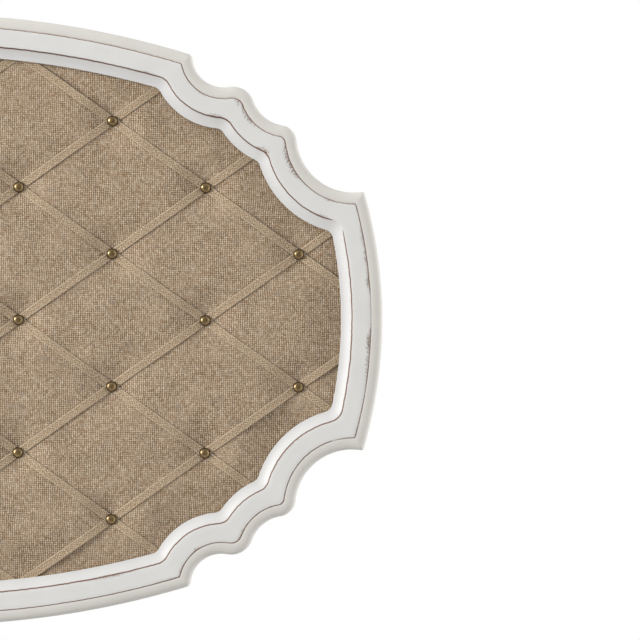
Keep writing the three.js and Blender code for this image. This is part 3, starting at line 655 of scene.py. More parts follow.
def pressed_board(name, shade, grain, rough, relief):
    """Pressed wood fibre: a matt, mottled surface of short fibres in every direction."""
    material, tree = new_material(name)
    place = add(tree, "TexCoord", {}, "Object")
    fibres = add(tree, "TexNoise", {"Vector": place, "Scale": 1 / grain, "Detail": 5, "Roughness": 0.7})
    # The patches are 14 fibres wide.
    patches = add(tree, "TexNoise", {"Vector": place, "Scale": 1 / (grain * 14), "Detail": 2})
    tone = add(tree, "Math", {0: patches, 1: 0.5, 2: fibres}, operation="MULTIPLY_ADD")
    tone = add(tree, "MapRange", {0: tone, 1: 0.5, 2: 1.0, 3: 0.72, 4: 1.2})
    brown = add(tree, "VectorMath", {0: shade[:3], "Scale": tone}, operation="SCALE")
    bump = add(tree, "Bump", {"Strength": 0.5, "Distance": relief, "Height": fibres})
    look = {"Base Color": brown, "Roughness": rough, "Normal": bump}
    add(tree, "OutputMaterial", {"Surface": add(tree, "BsdfPrincipled", look)})
    return material


def batting_fibre(settings):
    """Bonded polyester batting: soft off-white fibre with faint tufts of 8 mm and no gloss."""
    material, tree = new_material("bonded polyester batting")
    place = add(tree, "TexCoord", {}, "Object")
    grain = {"Detail": 6, "Roughness": 0.7}
    white, tufts = mottle(tree, place, settings.batting[:3], 8 * MM, (0.85, 1.0), grain)
    bump = add(tree, "Bump", {"Strength": 0.6, "Distance": 1 * MM, "Height": tufts})
    look = {"Base Color": white, "Roughness": 1.0, "Normal": bump, "Sheen Weight": 0.3}
    add(tree, "OutputMaterial", {"Surface": add(tree, "BsdfPrincipled", look)})
    return material


def antique_brass(settings):
    """Stamped, darkened brass rubbed bright on the dome: olive gold with brown patina round the
    rim and in patches, fine scuffs, and a thin lacquer over all."""
    material, tree = new_material("antique stamped brass")
    place = add(tree, "TexCoord", {}, "Object")
    x = add(tree, "SeparateXYZ", {0: place})
    flat = add(tree, "CombineXYZ", {0: x, 1: x.node.outputs[2]})
    radius = add(tree, "VectorMath", {0: flat}, "Value", operation="LENGTH")
    ramp = {1: 3.6 * MM, 2: 5.4 * MM}
    rim = add(tree, "MapRange", {0: radius, **ramp}, interpolation_type="SMOOTHSTEP")
    # Patina gathers in patches of about 2.5 mm, and scuffs are 0.3 mm wide.
    patch_grain = {"Scale": 1 / (2.5 * MM), "Detail": 4, "Roughness": 0.6}
    patches = add(tree, "TexNoise", {"Vector": place, **patch_grain})
    patches = add(tree, "MapRange", {0: patches, 1: 0.4, 2: 0.7, 3: 0, 4: 0.6})
    dark = add(tree, "Math", {0: rim, 1: 0.8, 2: patches}, operation="MULTIPLY_ADD", use_clamp=True)
    metal = add(tree, "Mix", {0: dark, 6: settings.brass, 7: settings.patina}, 2, data_type="RGBA")
    scuffs = add(tree, "TexNoise", {"Vector": place, "Scale": 1 / (0.6 * MM), "Detail": 3})
    rough = add(tree, "MapRange", {0: scuffs, 1: NOISE_LOW, 2: NOISE_HIGH, 3: 0.34, 4: 0.5})
    bump = add(tree, "Bump", {"Strength": 0.15, "Distance": 0.1 * MM, "Height": scuffs})
    look = {"Base Color": metal, "Metallic": 1.0, "Roughness": rough, "Normal": bump}
    lacquer = {"Coat Weight": 0.5, "Coat Roughness": 0.2}
    add(tree, "OutputMaterial", {"Surface": add(tree, "BsdfPrincipled", {**look, **lacquer})})
    return material


def zinc_plate(settings):
    """Zinc plated steel, one finish for all fittings: a pale metal with a soft gloss that is
    slightly cloudy over 4 mm."""
    name = "zinc plated steel"
    if name in bpy.data.materials:
        return bpy.data.materials[name]
    material, tree = new_material(name)
    place = add(tree, "TexCoord", {}, "Object")
    metal, cloud = mottle(tree, place, settings.zinc[:3], 4 * MM, (0.85, 1.0), {"Detail": 4})
    rough = add(tree, "MapRange", {0: cloud, 1: NOISE_LOW, 2: NOISE_HIGH, 3: 0.28, 4: 0.45})
    look = {"Base Color": metal, "Metallic": 1.0, "Roughness": rough}
    add(tree, "OutputMaterial", {"Surface": add(tree, "BsdfPrincipled", look)})
    return material


def moulded_rubber(settings):
    """Moulded rubber: matt near-black with a faint grain of 1.2 mm and a dusty bloom."""
    material, tree = new_material("moulded rubber")
    place = add(tree, "TexCoord", {}, "Object")
    black, grain = mottle(tree, place, settings.rubber[:3], 1.2 * MM, (0.8, 1.4), {"Detail": 3})
    bump = add(tree, "Bump", {"Strength": 0.3, "Distance": 0.1 * MM, "Height": grain})
    look = {"Base Color": black, "Roughness": 0.75, "Normal": bump}
    add(tree, "OutputMaterial", {"Surface": add(tree, "BsdfPrincipled", look)})
    return material


def matt_floor(settings, reach):
    """Matt floor paint with a faint grain of 4 mm that fades out towards the floor's edges."""
    material, tree = new_material("matt floor paint")
    place = add(tree, "TexCoord", {}, "Object")
    pale, _ = mottle(tree, place, settings.floor[:3], 4 * MM, (0.98, 1.0), {"Detail": 3})
    paint = add(tree, "BsdfPrincipled", {"Base Color": pale, "Roughness": 0.85})
    clear = add(tree, "BsdfTransparent", {})
    scale = (1 / reach[0], 1 / reach[1], 0)
    shares = add(tree, "VectorMath", {0: place, 1: scale}, operation="MULTIPLY")
    away = add(tree, "VectorMath", {0: shares}, "Value", operation="LENGTH")
    fade = add(tree, "MapRange", {0: away, 1: 0.6, 2: 0.98}, interpolation_type="SMOOTHSTEP")
    shader = add(tree, "MixShader", {0: fade, 1: paint, 2: clear})
    add(tree, "OutputMaterial", {"Surface": shader})
    return material


def moulding_section(settings):
    """The moulding's closed section from the back of the outer edge round the face, as inset,
    depth behind the face, and whether the line is on the face."""
    start = settings.bead_width
    cove_start = settings.cove_start
    sight = cove_start + settings.cove_width
    rebate = settings.rabbet - settings.rebate
    back = FRAME_BACK_Y - FACE_Y
    panel = PANEL_FRONT_Y - FACE_Y
    drop = settings.cove_drop
    lip_back = drop + settings.lip
    quirk = settings.quirk
    ease = 0.5 * MM
    lines = [(2 * ease, back), (0.6 * ease, back - 0.6 * ease), (0, back - 2 * ease)]
    lines.append((0, (back + settings.bead_drop) / 2))
    # The bead's crest stands a little above the bottom of its groove. The bead is a little fuller
    # than a quarter of an ellipse, as a round-over bit with a flat top leaves it.
    crest = 0.4 * quirk
    fullness = 0.83
    bead_end = 82
    for angle in np.radians(np.linspace(0, bead_end, 15)):
        depth = settings.bead_drop - (settings.bead_drop - crest) * math.sin(angle) ** fullness
        lines.append((start * (1 - math.cos(angle) ** fullness), depth))
    lines += [(start - 1.4 * ease, crest), (start - 0.8 * ease, 0.5 * quirk), (start, 0.85 * quirk)]
    lines += [(start + 0.6 * ease, 0.8 * quirk), (start + ease, 0.8 * ease)]
    lines += [(start + 1.4 * ease, 0.3 * ease), (start + 2.4 * ease, 0)]
    lines += [(start + share * settings.flat_width, 0) for share in (0.25, 0.5, 0.75)]
    # The cove starts at the bottom of the inner groove and levels out towards the sight edge.
    cove_top = 1.6 * quirk
    hollow = 1.6
    lines += [(cove_start - 2 * ease, 0), (cove_start - ease, 0.3 * ease)]
    lines += [(cove_start - 0.4 * ease, ease), (cove_start, cove_top)]
    for share in np.linspace(0.04, 0.95, 14):
        depth = drop - (drop - cove_top) * (1 - share) ** hollow
        lines.append((cove_start + settings.cove_width * share, depth))
    lines += [(sight - 0.6 * ease, drop), (sight - 0.2 * ease, drop + 0.4 * ease)]
    lines += [(sight, drop + 1.4 * ease), (sight, lip_back - 0.6 * ease)]
    lines.append((sight - 0.6 * ease, lip_back))
    section = [(inset, depth, True) for inset, depth in lines]
    rabbet = settings.rabbet
    corners = ((rabbet, lip_back), (rabbet, panel), (rebate, panel), (rebate, back))
    return section + [(inset, depth, False) for inset, depth in corners]


def rub(x, z, spots):
    """How much the named spots rub at a place; the left half is the right half turned half round."""
    side = 1 if x >= 0 else -1
    total = 0.0
    for spot_x, spot_z, reach, amount in spots:
        away = math.hypot(side * x / MM - spot_x, side * z / MM - spot_z)
        total += amount * math.exp(-((away / reach) ** 2))
    return total


def wear_levels(along, outer, inner):
    """The wear at each place along the moulding: the outer groove's line and the rubbing beside
    it, then the same of the inner groove."""
    levels = []
    for run, outer_place, inner_place in zip(along, outer, inner):
        slow = noise.noise(Vector((run / (60 * MM), 3.1, 0)))
        quick = noise.noise(Vector((run / (17 * MM), 8.7, 0)))
        # The outer groove is worn more towards the rails.
        height = abs(outer_place[1])
        row = []
        for (x, z), rubs, sound, level in (
            (outer_place, OUTER_RUBS, OUTER_SOUND, 0.14 + 1.5 * height + 0.25 * slow + 0.12 * quick),
            (inner_place, INNER_RUBS, INNER_SOUND, 0.8 - 0.2 * slow + 0.12 * quick),
        ):
            open_share = max(0, 1 - rub(x, z, sound))
            rubbed = rub(x, z, rubs)
            line = (level + 0.1 * rubbed) * open_share
            row += [min(max(line, 0), 1), min(rubbed * open_share, 1)]
        levels.append(row)
    return np.array(levels, dtype=np.float32)


class MEMO_OT_moulding(bpy.types.Operator):
    """Makes the scalloped moulding in one run with its worn paint"""

    bl_idname = "memo_board.moulding"
    bl_label = "Moulding"

    def execute(self, context):
        settings = context.scene.memo_moulding
        section = moulding_section(settings)
        rows = []
        for inset, depth, on_face in section:
            if on_face:
                ring = face_outline(inset, settings)
            else:
                ring = back_outline(inset, settings.rabbet, MOULDING_FACETS)
            rows.append(np.column_stack((ring[:, 0], np.full(len(ring), FACE_Y + depth), ring[:, 1])))
        points = np.vstack(rows)
        faces, starts = grid_faces(len(rows), len(rows[0]), True, True)
        paint = worn_paint(settings)
        piece = new_piece("frame_moulding", points, faces, paint, crease=40)
        outer, middle, inner = (
            face_outline(inset, settings)
            for inset in (settings.bead_width, settings.mid_flat, settings.cove_start)
        )
        hops = np.linalg.norm(np.roll(middle, -1, axis=0) - middle, axis=1)
        along = np.concatenate(([0], np.cumsum(hops)))
        # What isn't on the face is laid well past both grooves, so that no wear shows there.
        past_grooves = 200 * MM
        across = [inset if on_face else past_grooves for inset, _, on_face in section]
        lay_run(piece, starts, along, across + across[:1])
        wear = np.tile(wear_levels(along, outer, inner), (len(rows), 1))
        layer = piece.data.attributes.new("wear", "FLOAT_COLOR", "POINT")
        layer.data.foreach_set("color", wear.ravel())
        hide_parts("top_rail", "bottom_rail", "left_stile", "right_stile")
        return {"FINISHED"}


def tack_places():
    """The middle of each tack in X and Z, by its node's name."""
    return {node: box_middle(node) for node in nodes_with("tack_")}


def lattice_pitch():
    """The distance between neighbouring columns of tacks, and between neighbouring rows."""
    places = np.array(list(tack_places().values()))
    reach = places.max(axis=0) - places.min(axis=0)
    return reach[0] / (TACK_COLUMNS - 1), reach[1] / (TACK_ROWS - 1)


def cloth_front(points, settings):
    """The cloth's depth at points in X and Z: drawn in at each tack, full between the tapes."""
    # Each dip is level under the tack's head, and beyond it half pointed and half round.
    tuft_flat = 3 * MM
    point = 1.6
    drawn = np.zeros(len(points))
    for place in tack_places().values():
        away = np.linalg.norm(points - place, axis=1)
        share = np.clip((away - tuft_flat) / (settings.tuft_radius - tuft_flat), 0, 1)
        drawn += 0.5 * (1 - share) ** point + 0.5 * (1 - smooth_step(share))
    pitch_x, pitch_z = lattice_pitch()
    column = points[:, 0] / pitch_x
    row = points[:, 1] / pitch_z
    cell = pitch_x * pitch_z / math.hypot(pitch_x, pitch_z)
    from_rising = np.abs((column - row) % 2 - 1)
    from_falling = np.abs((column + row) % 2 - 1)
    from_tape = np.minimum(from_rising, from_falling) * cell
    full = settings.arch * (1 - drawn) + settings.swell * smooth_step(from_tape / (0.8 * cell))
    # The frame holds the cloth down at its edge, and the padding reaches its full height further in.
    held_width = 9 * MM
    rise_width = 42 * MM
    from_edge = to_outline(points, panel_outline(settings.inset))
    risen = smooth_step((from_edge - held_width) / rise_width)
    return CLOTH_Y + settings.tuft_depth * drawn - full * risen


def inside(points, edge):
    """Which points lie inside a closed outline."""
    found = np.zeros(len(points), dtype=bool)
    for (x0, z0), (x1, z1) in zip(edge, np.roll(edge, -1, axis=0)):
        crosses = (z0 > points[:, 1]) != (z1 > points[:, 1])
        with np.errstate(divide="ignore", invalid="ignore"):
            at = x0 + (points[:, 1] - z0) * (x1 - x0) / (z1 - z0)
        found ^= crosses & (points[:, 0] < at)
    return found


def cut_sheet(edge, grid):
    """Points and triangles that fill an outline; the outline's own points come first."""
    triangle_height = 0.866
    rim_gap = 0.6
    high = edge.max(axis=0)
    spots = []
    for k, z in enumerate(np.arange(-high[1], high[1], grid * triangle_height)):
        columns = np.arange(-high[0], high[0], grid) + (k % 2) * grid / 2
        spots.append(np.column_stack((columns, np.full(len(columns), z))))
    spots = np.vstack(spots)
    spots = spots[inside(spots, edge)]
    points = np.vstack((edge, spots[to_outline(spots, edge) > rim_gap * grid]))
    rim = [(k, (k + 1) % len(edge)) for k in range(len(edge))]
    keep_inside = 1
    merge_distance = 1e-7
    corners = [Vector(point) for point in points]
    made = geometry.delaunay_2d_cdt(corners, rim, [], keep_inside, merge_distance)
    order = {source: k for k, sources in enumerate(made[3]) for source in sources}
    place = [order[k] for k in range(len(edge))]
    rest = [k for k in range(len(made[0])) if k not in set(place)]
    renumber = {old: new for new, old in enumerate(place + rest)}
    flat = np.array([made[0][old] for old in place + rest])
    return flat, [tuple(renumber[k] for k in face) for face in made[2]]


def facing_front(points, faces):
    """The faces with each turned so that it faces the front."""
    turned_faces = []
    for a, b, c in faces:
        ab = points[b] - points[a]
        ac = points[c] - points[a]
        turned_faces.append((a, b, c) if ab[0] * ac[1] - ab[1] * ac[0] > 0 else (a, c, b))
    return turned_faces


def skirted(front, depths, faces, rings):
    """A sheet's points and faces with rings of the same outline added behind its rim, and the
    last ring."""
    count = len(rings[0][0])
    points = [(x, y, z) for (x, z), y in zip(front, depths)]
    faces = facing_front(front, faces)
    upper = list(range(count))
    for ring, depth in rings:
        lower = list(range(len(points), len(points) + count))
        points += [(x, depth, z) for x, z in ring]
        for k in range(count):
            beside = (k + 1) % count
            faces.append((upper[k], upper[beside], lower[beside], lower[k]))
        upper = lower
    return points, faces, upper


class MEMO_OT_batting(bpy.types.Operator):
    """Makes the batting pad under the cloth"""

    bl_idname = "memo_board.batting"
    bl_label = "Batting"

    def execute(self, context):
        settings = context.scene.memo_panel
        turn = settings.edge_turn
        under_cloth = 0.4 * MM
        over_core = 0.05 * MM
        rim = panel_outline(settings.core_inset)
        front_rim = panel_outline(settings.core_inset + turn)
        front, faces = cut_sheet(front_rim, 3 * settings.grid)
        depths = cloth_front(front, settings) + settings.cloth_thickness + under_cloth
        rings = [
            (rim, CLOTH_Y + settings.cloth_thickness + turn),
            (rim, PADDING_BACK_Y - 0.5 * turn),
            (front_rim, PADDING_BACK_Y - over_core),
        ]
        points, faces, back = skirted(front, depths, faces, rings)
        faces.append(tuple(reversed(back)))
        pad = new_piece("batting_pad", points, faces, batting_fibre(settings))
        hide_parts("padding")
        return {"FINISHED"}


class MEMO_OT_cloth(bpy.types.Operator):
    """Makes the burlap cloth that is drawn over the padded panel"""

    bl_idname = "memo_board.cloth"
    bl_label = "Burlap cloth"

    def execute(self, context):
        settings = context.scene.memo_panel
        turn = settings.edge_turn
        eased = 0.3 * turn
        rim = panel_outline(settings.inset)
        front, faces = cut_sheet(panel_outline(settings.inset + turn), settings.grid)
        rings = [
            (panel_outline(settings.inset + eased), CLOTH_Y + eased),
            (rim, CLOTH_Y + turn),
            (rim, (CLOTH_Y + CORE_BACK_Y) / 2),
            (rim, CORE_BACK_Y),
        ]
        points, faces, _ = skirted(front, cloth_front(front, settings), faces, rings)
        cloth = new_piece("burlap_cloth", points, faces, burlap(settings))
        skin = cloth.modifiers.new("cloth thickness", "SOLIDIFY")
        skin.thickness = settings.cloth_thickness
        skin.offset = -1
        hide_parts("burlap_cover")
        # The cut is the face with the panel's depth turned round on each side.
        return {"FINISHED"}


class MEMO_OT_boards(bpy.types.Operator):
    """Finishes the fibreboard core and the hardboard back panel"""

    bl_idname = "memo_board.boards"
    bl_label = "Boards"

    def execute(self, context):
        settings = context.scene.memo_panel
        for node, name, shade, grain, rough, relief in (
            ("panel_core", "soft wood fibreboard", settings.fibreboard, 1.6 * MM, 0.95, 0.4 * MM),
            ("back_panel", "tempered hardboard", settings.hardboard, 1.2 * MM, 0.6, 0.12 * MM),
        ):
            finish = pressed_board(name, shade, grain, rough, relief)
            frame["nodes"][node].material_slots[0].material = finish
        return {"FINISHED"}


def tape_line(node, direction, seed, step):
    """A tape's middle line in X and Z with a slight sway, the way across it, the distance along
    it, and the distance of its points from the nearest crossing."""
    trim = 2 * MM
    sway_reach = 0.5 * MM
    sway_length = 50 * MM
    pitch_x, pitch_z = lattice_pitch()
    low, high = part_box(node)
    # A tape meets the board's level middle line an odd number of columns from its centre.
    middle = (low[0] + high[0]) / (2 * pitch_x) - direction * (low[2] + high[2]) / (2 * pitch_z)
    offset = 2 * round((middle - 1) / 2) + 1
    slope = direction * pitch_z / pitch_x
    ends = (low[0] + trim, high[0] - trim)
    x = np.linspace(ends[0], ends[1], round((ends[1] - ends[0]) / step))
    line = np.column_stack((x, slope * (x - offset * pitch_x)))
    unit = np.array((1, slope)) / math.hypot(1, slope)
    side = np.array((unit[1], -unit[0])) * direction
    along = np.concatenate(([0], np.cumsum(np.linalg.norm(np.diff(line, axis=0), axis=1))))
    sway = np.array([noise.noise(Vector((s / sway_length, seed, 0))) for s in along]) * sway_reach
    line = line + sway[:, None] * side
    column = line[:, 0] / pitch_x
    crossing = np.abs((column + direction * (offset - 1)) % 1 - 0.5)
    crossing = (0.5 - crossing) * math.hypot(pitch_x, pitch_z)
    return line, side, along, crossing


def tape_bed(line, reach, crossing, panel):
    """The depth of what a tape lies on: the cloth under its higher edge, but the cloth under its
    middle where a tack draws both in, evened out over five points."""
    under_tack = 3 * MM
    lift_off = 5 * MM
    beds = [cloth_front(line + u * reach, panel) for u in (-1.1, -0.6, 0, 0.6, 1.1)]
    lifted = smooth_step((crossing - under_tack) / lift_off)
    bed = beds[2] + (np.min(beds, axis=0) - beds[2]) * lifted
    window = 5
    return np.convolve(np.pad(bed, window // 2, mode="edge"), np.ones(window) / window, mode="valid")


def tape_section(settings):
    """A tape's section as places across it, as shares of half its width, and heights: rolled
    edges with a fold that stands up beside each, and a flat underside."""
    fold_middle = 0.82
    fold_spread = 0.12
    upper = np.array((-1, -0.97, -0.9, -0.8, -0.68, -0.45, 0, 0.45, 0.68, 0.8, 0.9, 0.97, 1))
    lower = np.array((0.94, 0.5, 0, -0.5, -0.94))
    fold = np.exp(-(((np.abs(upper) - fold_middle) / fold_spread) ** 2))
    crown = settings.thickness + settings.fold * fold
    crown = crown * np.sqrt(np.clip(1.02 - np.abs(upper) ** 14, 0.05, 1))
    return np.concatenate((upper, lower)), np.concatenate((crown, np.zeros(len(lower))))


class MEMO_OT_tapes(bpy.types.Operator):
    """Makes the crossing tapes with their folded edges"""

    bl_idname = "memo_board.tapes"
    bl_label = "Tapes"

    def execute(self, context):
        settings = context.scene.memo_tapes
        finish = tape_weave(settings)
        for node in nodes_with("ribbon_"):
            self.make_tape(context.scene.memo_panel, settings, finish, node)
        return {"FINISHED"}

    def make_tape(self, panel, settings, finish, node):
        """One tape along its node's line, over the cloth and over the tapes that it crosses."""
        _, way, number = node.split("_")
        direction = 1 if way == "rising" else -1
        seed = int(number) * 5.3 + direction * 1.7
        line, side, along, crossing = tape_line(node, direction, seed, settings.step)
        half = settings.width / 2
        base = tape_bed(line, half * side, crossing, panel) - settings.bedding
        tilt = settings.rising_tilt
        climb = 9 * MM
        if direction < 0:
            # A falling tape climbs over the other tape on its way to each crossing.
            climb_start = 14 * MM
            layer = settings.thickness + settings.fold
            base = base - layer * smooth_step((climb_start - crossing) / climb)
            tilt = settings.falling_tilt
        # One edge stands off the cloth, but not near a crossing or the frame.
        flat_by_crossing = 5 * MM
        flat_by_frame = 10 * MM
        frame_climb = 20 * MM
        from_edge = to_outline(line, panel_outline(panel.inset))
        free = smooth_step((crossing - flat_by_crossing) / climb)
        free = free * smooth_step((from_edge - flat_by_frame) / frame_climb)
        wave_length = 70 * MM
        wave = np.array([0.75 + 0.5 * noise.noise(Vector((s / wave_length, seed, 4.2))) for s in along])
        tilt = tilt * free * wave
        across, stand = tape_section(settings)
        rows = []
        for u, height in zip(across, stand):
            spots = line + u * half * side
            depth = base - height - tilt * (1 + u) / 2
            rows.append(np.column_stack((spots[:, 0], depth, spots[:, 1])))
        if direction < 0:
            rows.reverse()
            across = across[::-1]
        count = len(line)
        faces, starts = grid_faces(len(rows), count, True, False)
        first = [k * count for k in range(len(rows))]
        last = [k * count + count - 1 for k in range(len(rows))]
        faces += [tuple(first), tuple(reversed(last))]
        name = f"tape_{way}_{number}"
        piece = new_piece(name, np.vstack(rows), faces, finish, crease=50)
        lay_run(piece, starts, along + seed, np.concatenate((across, across[:1])) * half)
        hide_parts(node)


class MEMO_OT_tacks(bpy.types.Operator):
    """Makes the domed tacks"""

    bl_idname = "memo_board.tacks"
    bl_label = "Tacks"

    def execute(self, context):
        settings = context.scene.memo_fittings
        low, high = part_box("tack_1")
        radius = (high[0] - low[0]) / 2
        seat = low[1] + settings.head_height
        rim = settings.head_rim
        rise = settings.head_height - rim
        # The dome is flatter than a ball's on top and turns down faster near its rim.
        top_flatness = 2.6
        rim_turn = 0.6
        profile = []
        for share in np.sin(np.linspace(0.02, 0.98, 18) * math.pi / 2):
            profile.append((share * radius, -rim - rise * (1 - share**top_flatness) ** rim_turn))
        profile += [(radius, -rim), (radius, -0.5 * rim)]
        profile += [(0.98 * radius, -0.1 * rim), (0.93 * radius, 0)]
        # Under the head it is hollow up to its shank, which ends in a point.
        shank = settings.shank / 2
        tip = high[1] - seat
        profile += [(0.86 * radius, -0.3 * rim), (0.5 * radius, -0.4 * rise), (shank, -0.55 * rise)]
        profile += [(shank, 0.55 * tip), (0.16 * shank, tip)]
        points, faces = turned(profile, 40)
        first = new_piece("brass_tack_1", points, faces, antique_brass(settings), crease=50)
        # The tacks share one mesh, and each leans and turns a little by its number.
        most_lean = math.radians(3)
        for node, (x, z) in tack_places().items():
            number = node.split("_")[1]
            piece = first
            if number != "1":
                piece = bpy.data.objects.new(f"brass_tack_{number}", first.data)
                context.scene.collection.objects.link(piece)
                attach(piece, "board")
            piece.location = (x, seat, z)
            lean = noise.noise(Vector((int(number) * 1.7, 0.4, 2.2))) * most_lean
            piece.rotation_euler = (lean, int(number) * 2.4, -lean)
            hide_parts(node)
        return {"FINISHED"}


def facing_wall(node, name, points, faces, finish, crease):
    """A turned piece that faces the wall, at the back of its node's box."""
    faces = [tuple(reversed(face)) for face in faces]
    piece = new_piece(name, points, faces, finish, crease=crease)
    x, z = box_middle(node)
    piece.location = (x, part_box(node)[1][1], z)
    return piece


class MEMO_OT_screws(bpy.types.Operator):
    """Makes the pan-head screws with their cross recesses"""

    bl_idname = "memo_board.screws"
    bl_label = "Screws"

    def execute(self, context):
        finish = zinc_plate(context.scene.memo_fittings)
        for node in nodes_with("_screw_"):
            self.make_screw(node, finish)
        return {"FINISHED"}

    def make_screw(self, node, finish):
        """A pan-head screw with a cross recess, facing the wall."""
        low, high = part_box(node)
        radius = (high[0] - low[0]) / 2
        head = 1.6 * MM
        shank = 1.5 * MM
        tip = low[1] - high[1]
        sides = 48
        shares = (0.01, 0.1, 0.2, 0.3, 0.4, 0.5, 0.6, 0.7, 0.8, 0.88, 0.94, 0.98, 1.0)
        profile = [(radius * s, -head * 0.55 * (1 - math.sqrt(1 - (0.98 * s) ** 2))) for s in shares]
        profile += [(radius, -0.7 * head), (0.97 * radius, -head), (shank, -head)]
        profile += [(shank, 0.75 * tip), (0.1 * shank, tip)]
        points, faces = turned(profile, sides)
        # The recess is a cross that is deepest in its middle.
        arm = 0.55 * radius
        slit = 0.13 * radius
        recess = 0.8 * MM
        for k, (x, y, z) in enumerate(points[: len(shares) * sides]):
            far = max(abs(x), abs(z))
            if far < arm and min(abs(x), abs(z)) < slit:
                points[k] = (x, y - recess * (1 - far / arm * 0.5), z)
        piece = facing_wall(node, f"cross_head_{node}", points, faces, finish, 35)
        piece.rotation_euler = (0, noise.noise(piece.location * 90) * 3, 0)
        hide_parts(node)


class MEMO_OT_bumpers(bpy.types.Operator):
    """Makes the moulded bumpers, each with a rounded foot and a small hollow in it"""

    bl_idname = "memo_board.bumpers"
    bl_label = "Bumpers"

    def execute(self, context):
        finish = moulded_rubber(context.scene.memo_fittings)
        foot_share = 10 / 13
        for node in nodes_with("bumper_"):
            low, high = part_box(node)
            wide = (high[0] - low[0]) / 2
            narrow = wide * foot_share
            height = high[1] - low[1]
            profile = [(0.02 * wide, -0.6 * MM), (0.3 * wide, -0.6 * MM), (0.42 * wide, -0.1 * MM)]
            profile += [(narrow - 1 * MM, 0), (narrow - 0.3 * MM, -0.25 * MM), (narrow, -0.9 * MM)]
            profile += [(wide - 0.2 * MM, 0.8 * MM - height), (wide, 0.3 * MM - height)]
            profile += [(wide, -height), (0.02 * wide, -height)]
            points, faces = turned(profile, 48)
            piece = facing_wall(node, f"rubber_{node}", points, faces, finish, 40)
            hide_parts(node)
        return {"FINISHED"}


def ring_path(settings):
    """The D ring's middle line from its axle down, as points across and down."""
    half = settings.ring_width / 2
    bend = settings.ring_bend
    quarter = np.linspace(0, math.pi / 2, 7)
    path = [(half - bend + bend * math.sin(a), bend - bend * math.cos(a)) for a in quarter]
    bow = np.linspace(0, math.pi, 33)
    path += [(half * math.cos(a), settings.ring_leg + half * math.sin(a)) for a in bow]
    path += [(-half + bend - bend * math.cos(a), bend - bend * math.sin(a)) for a in quarter]
    return np.array(path)


class MEMO_OT_hangers(bpy.types.Operator):
    """Makes the D rings and finishes their straps"""

    bl_idname = "memo_board.hangers"
    bl_label = "Hangers"

    def execute(self, context):
        settings = context.scene.memo_fittings
        finish = zinc_plate(settings)
        for node in nodes_with("hanger_strap_"):
            frame["nodes"][node].material_slots[0].material = finish
        for joint in frame["joints"]:
            self.make_ring(settings, joint, finish)
        return {"FINISHED"}

    def make_ring(self, settings, joint, finish):
        """A D ring of round wire that hangs from its axle and leans off the strap."""
        side = joint["child"].split("_")[0]
        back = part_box(f"d_ring_{side}")[1][1]
        axle = Vector(joint["pos_m"])
        path = ring_path(settings)
        wire = settings.wire / 2
        wire_sides = 14
        lean = math.asin((back - wire - axle.y) / path[:, 1].max())
        along = np.roll(path, -1, axis=0) - np.roll(path, 1, axis=0)
        along = along / np.linalg.norm(along, axis=1)[:, None]
        outward = np.column_stack((along[:, 1], -along[:, 0]))
        rows = []
        for angle in np.arange(wire_sides) * 2 * math.pi / wire_sides:
            flat = path + outward * math.cos(angle) * wire
            proud = math.sin(angle) * wire
            y = axle.y + flat[:, 1] * math.sin(lean) + proud * math.cos(lean)
            z = axle.z - flat[:, 1] * math.cos(lean) + proud * math.sin(lean)
            rows.append(np.column_stack((axle.x + flat[:, 0], y, z)))
        points = np.vstack(rows)
        faces, _ = grid_faces(len(rows), len(path), True, True)
        body = joint["child"]
        piece = new_piece(f"wire_d_ring_{side}", points, faces, finish, body)
        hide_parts(f"d_ring_{side}")


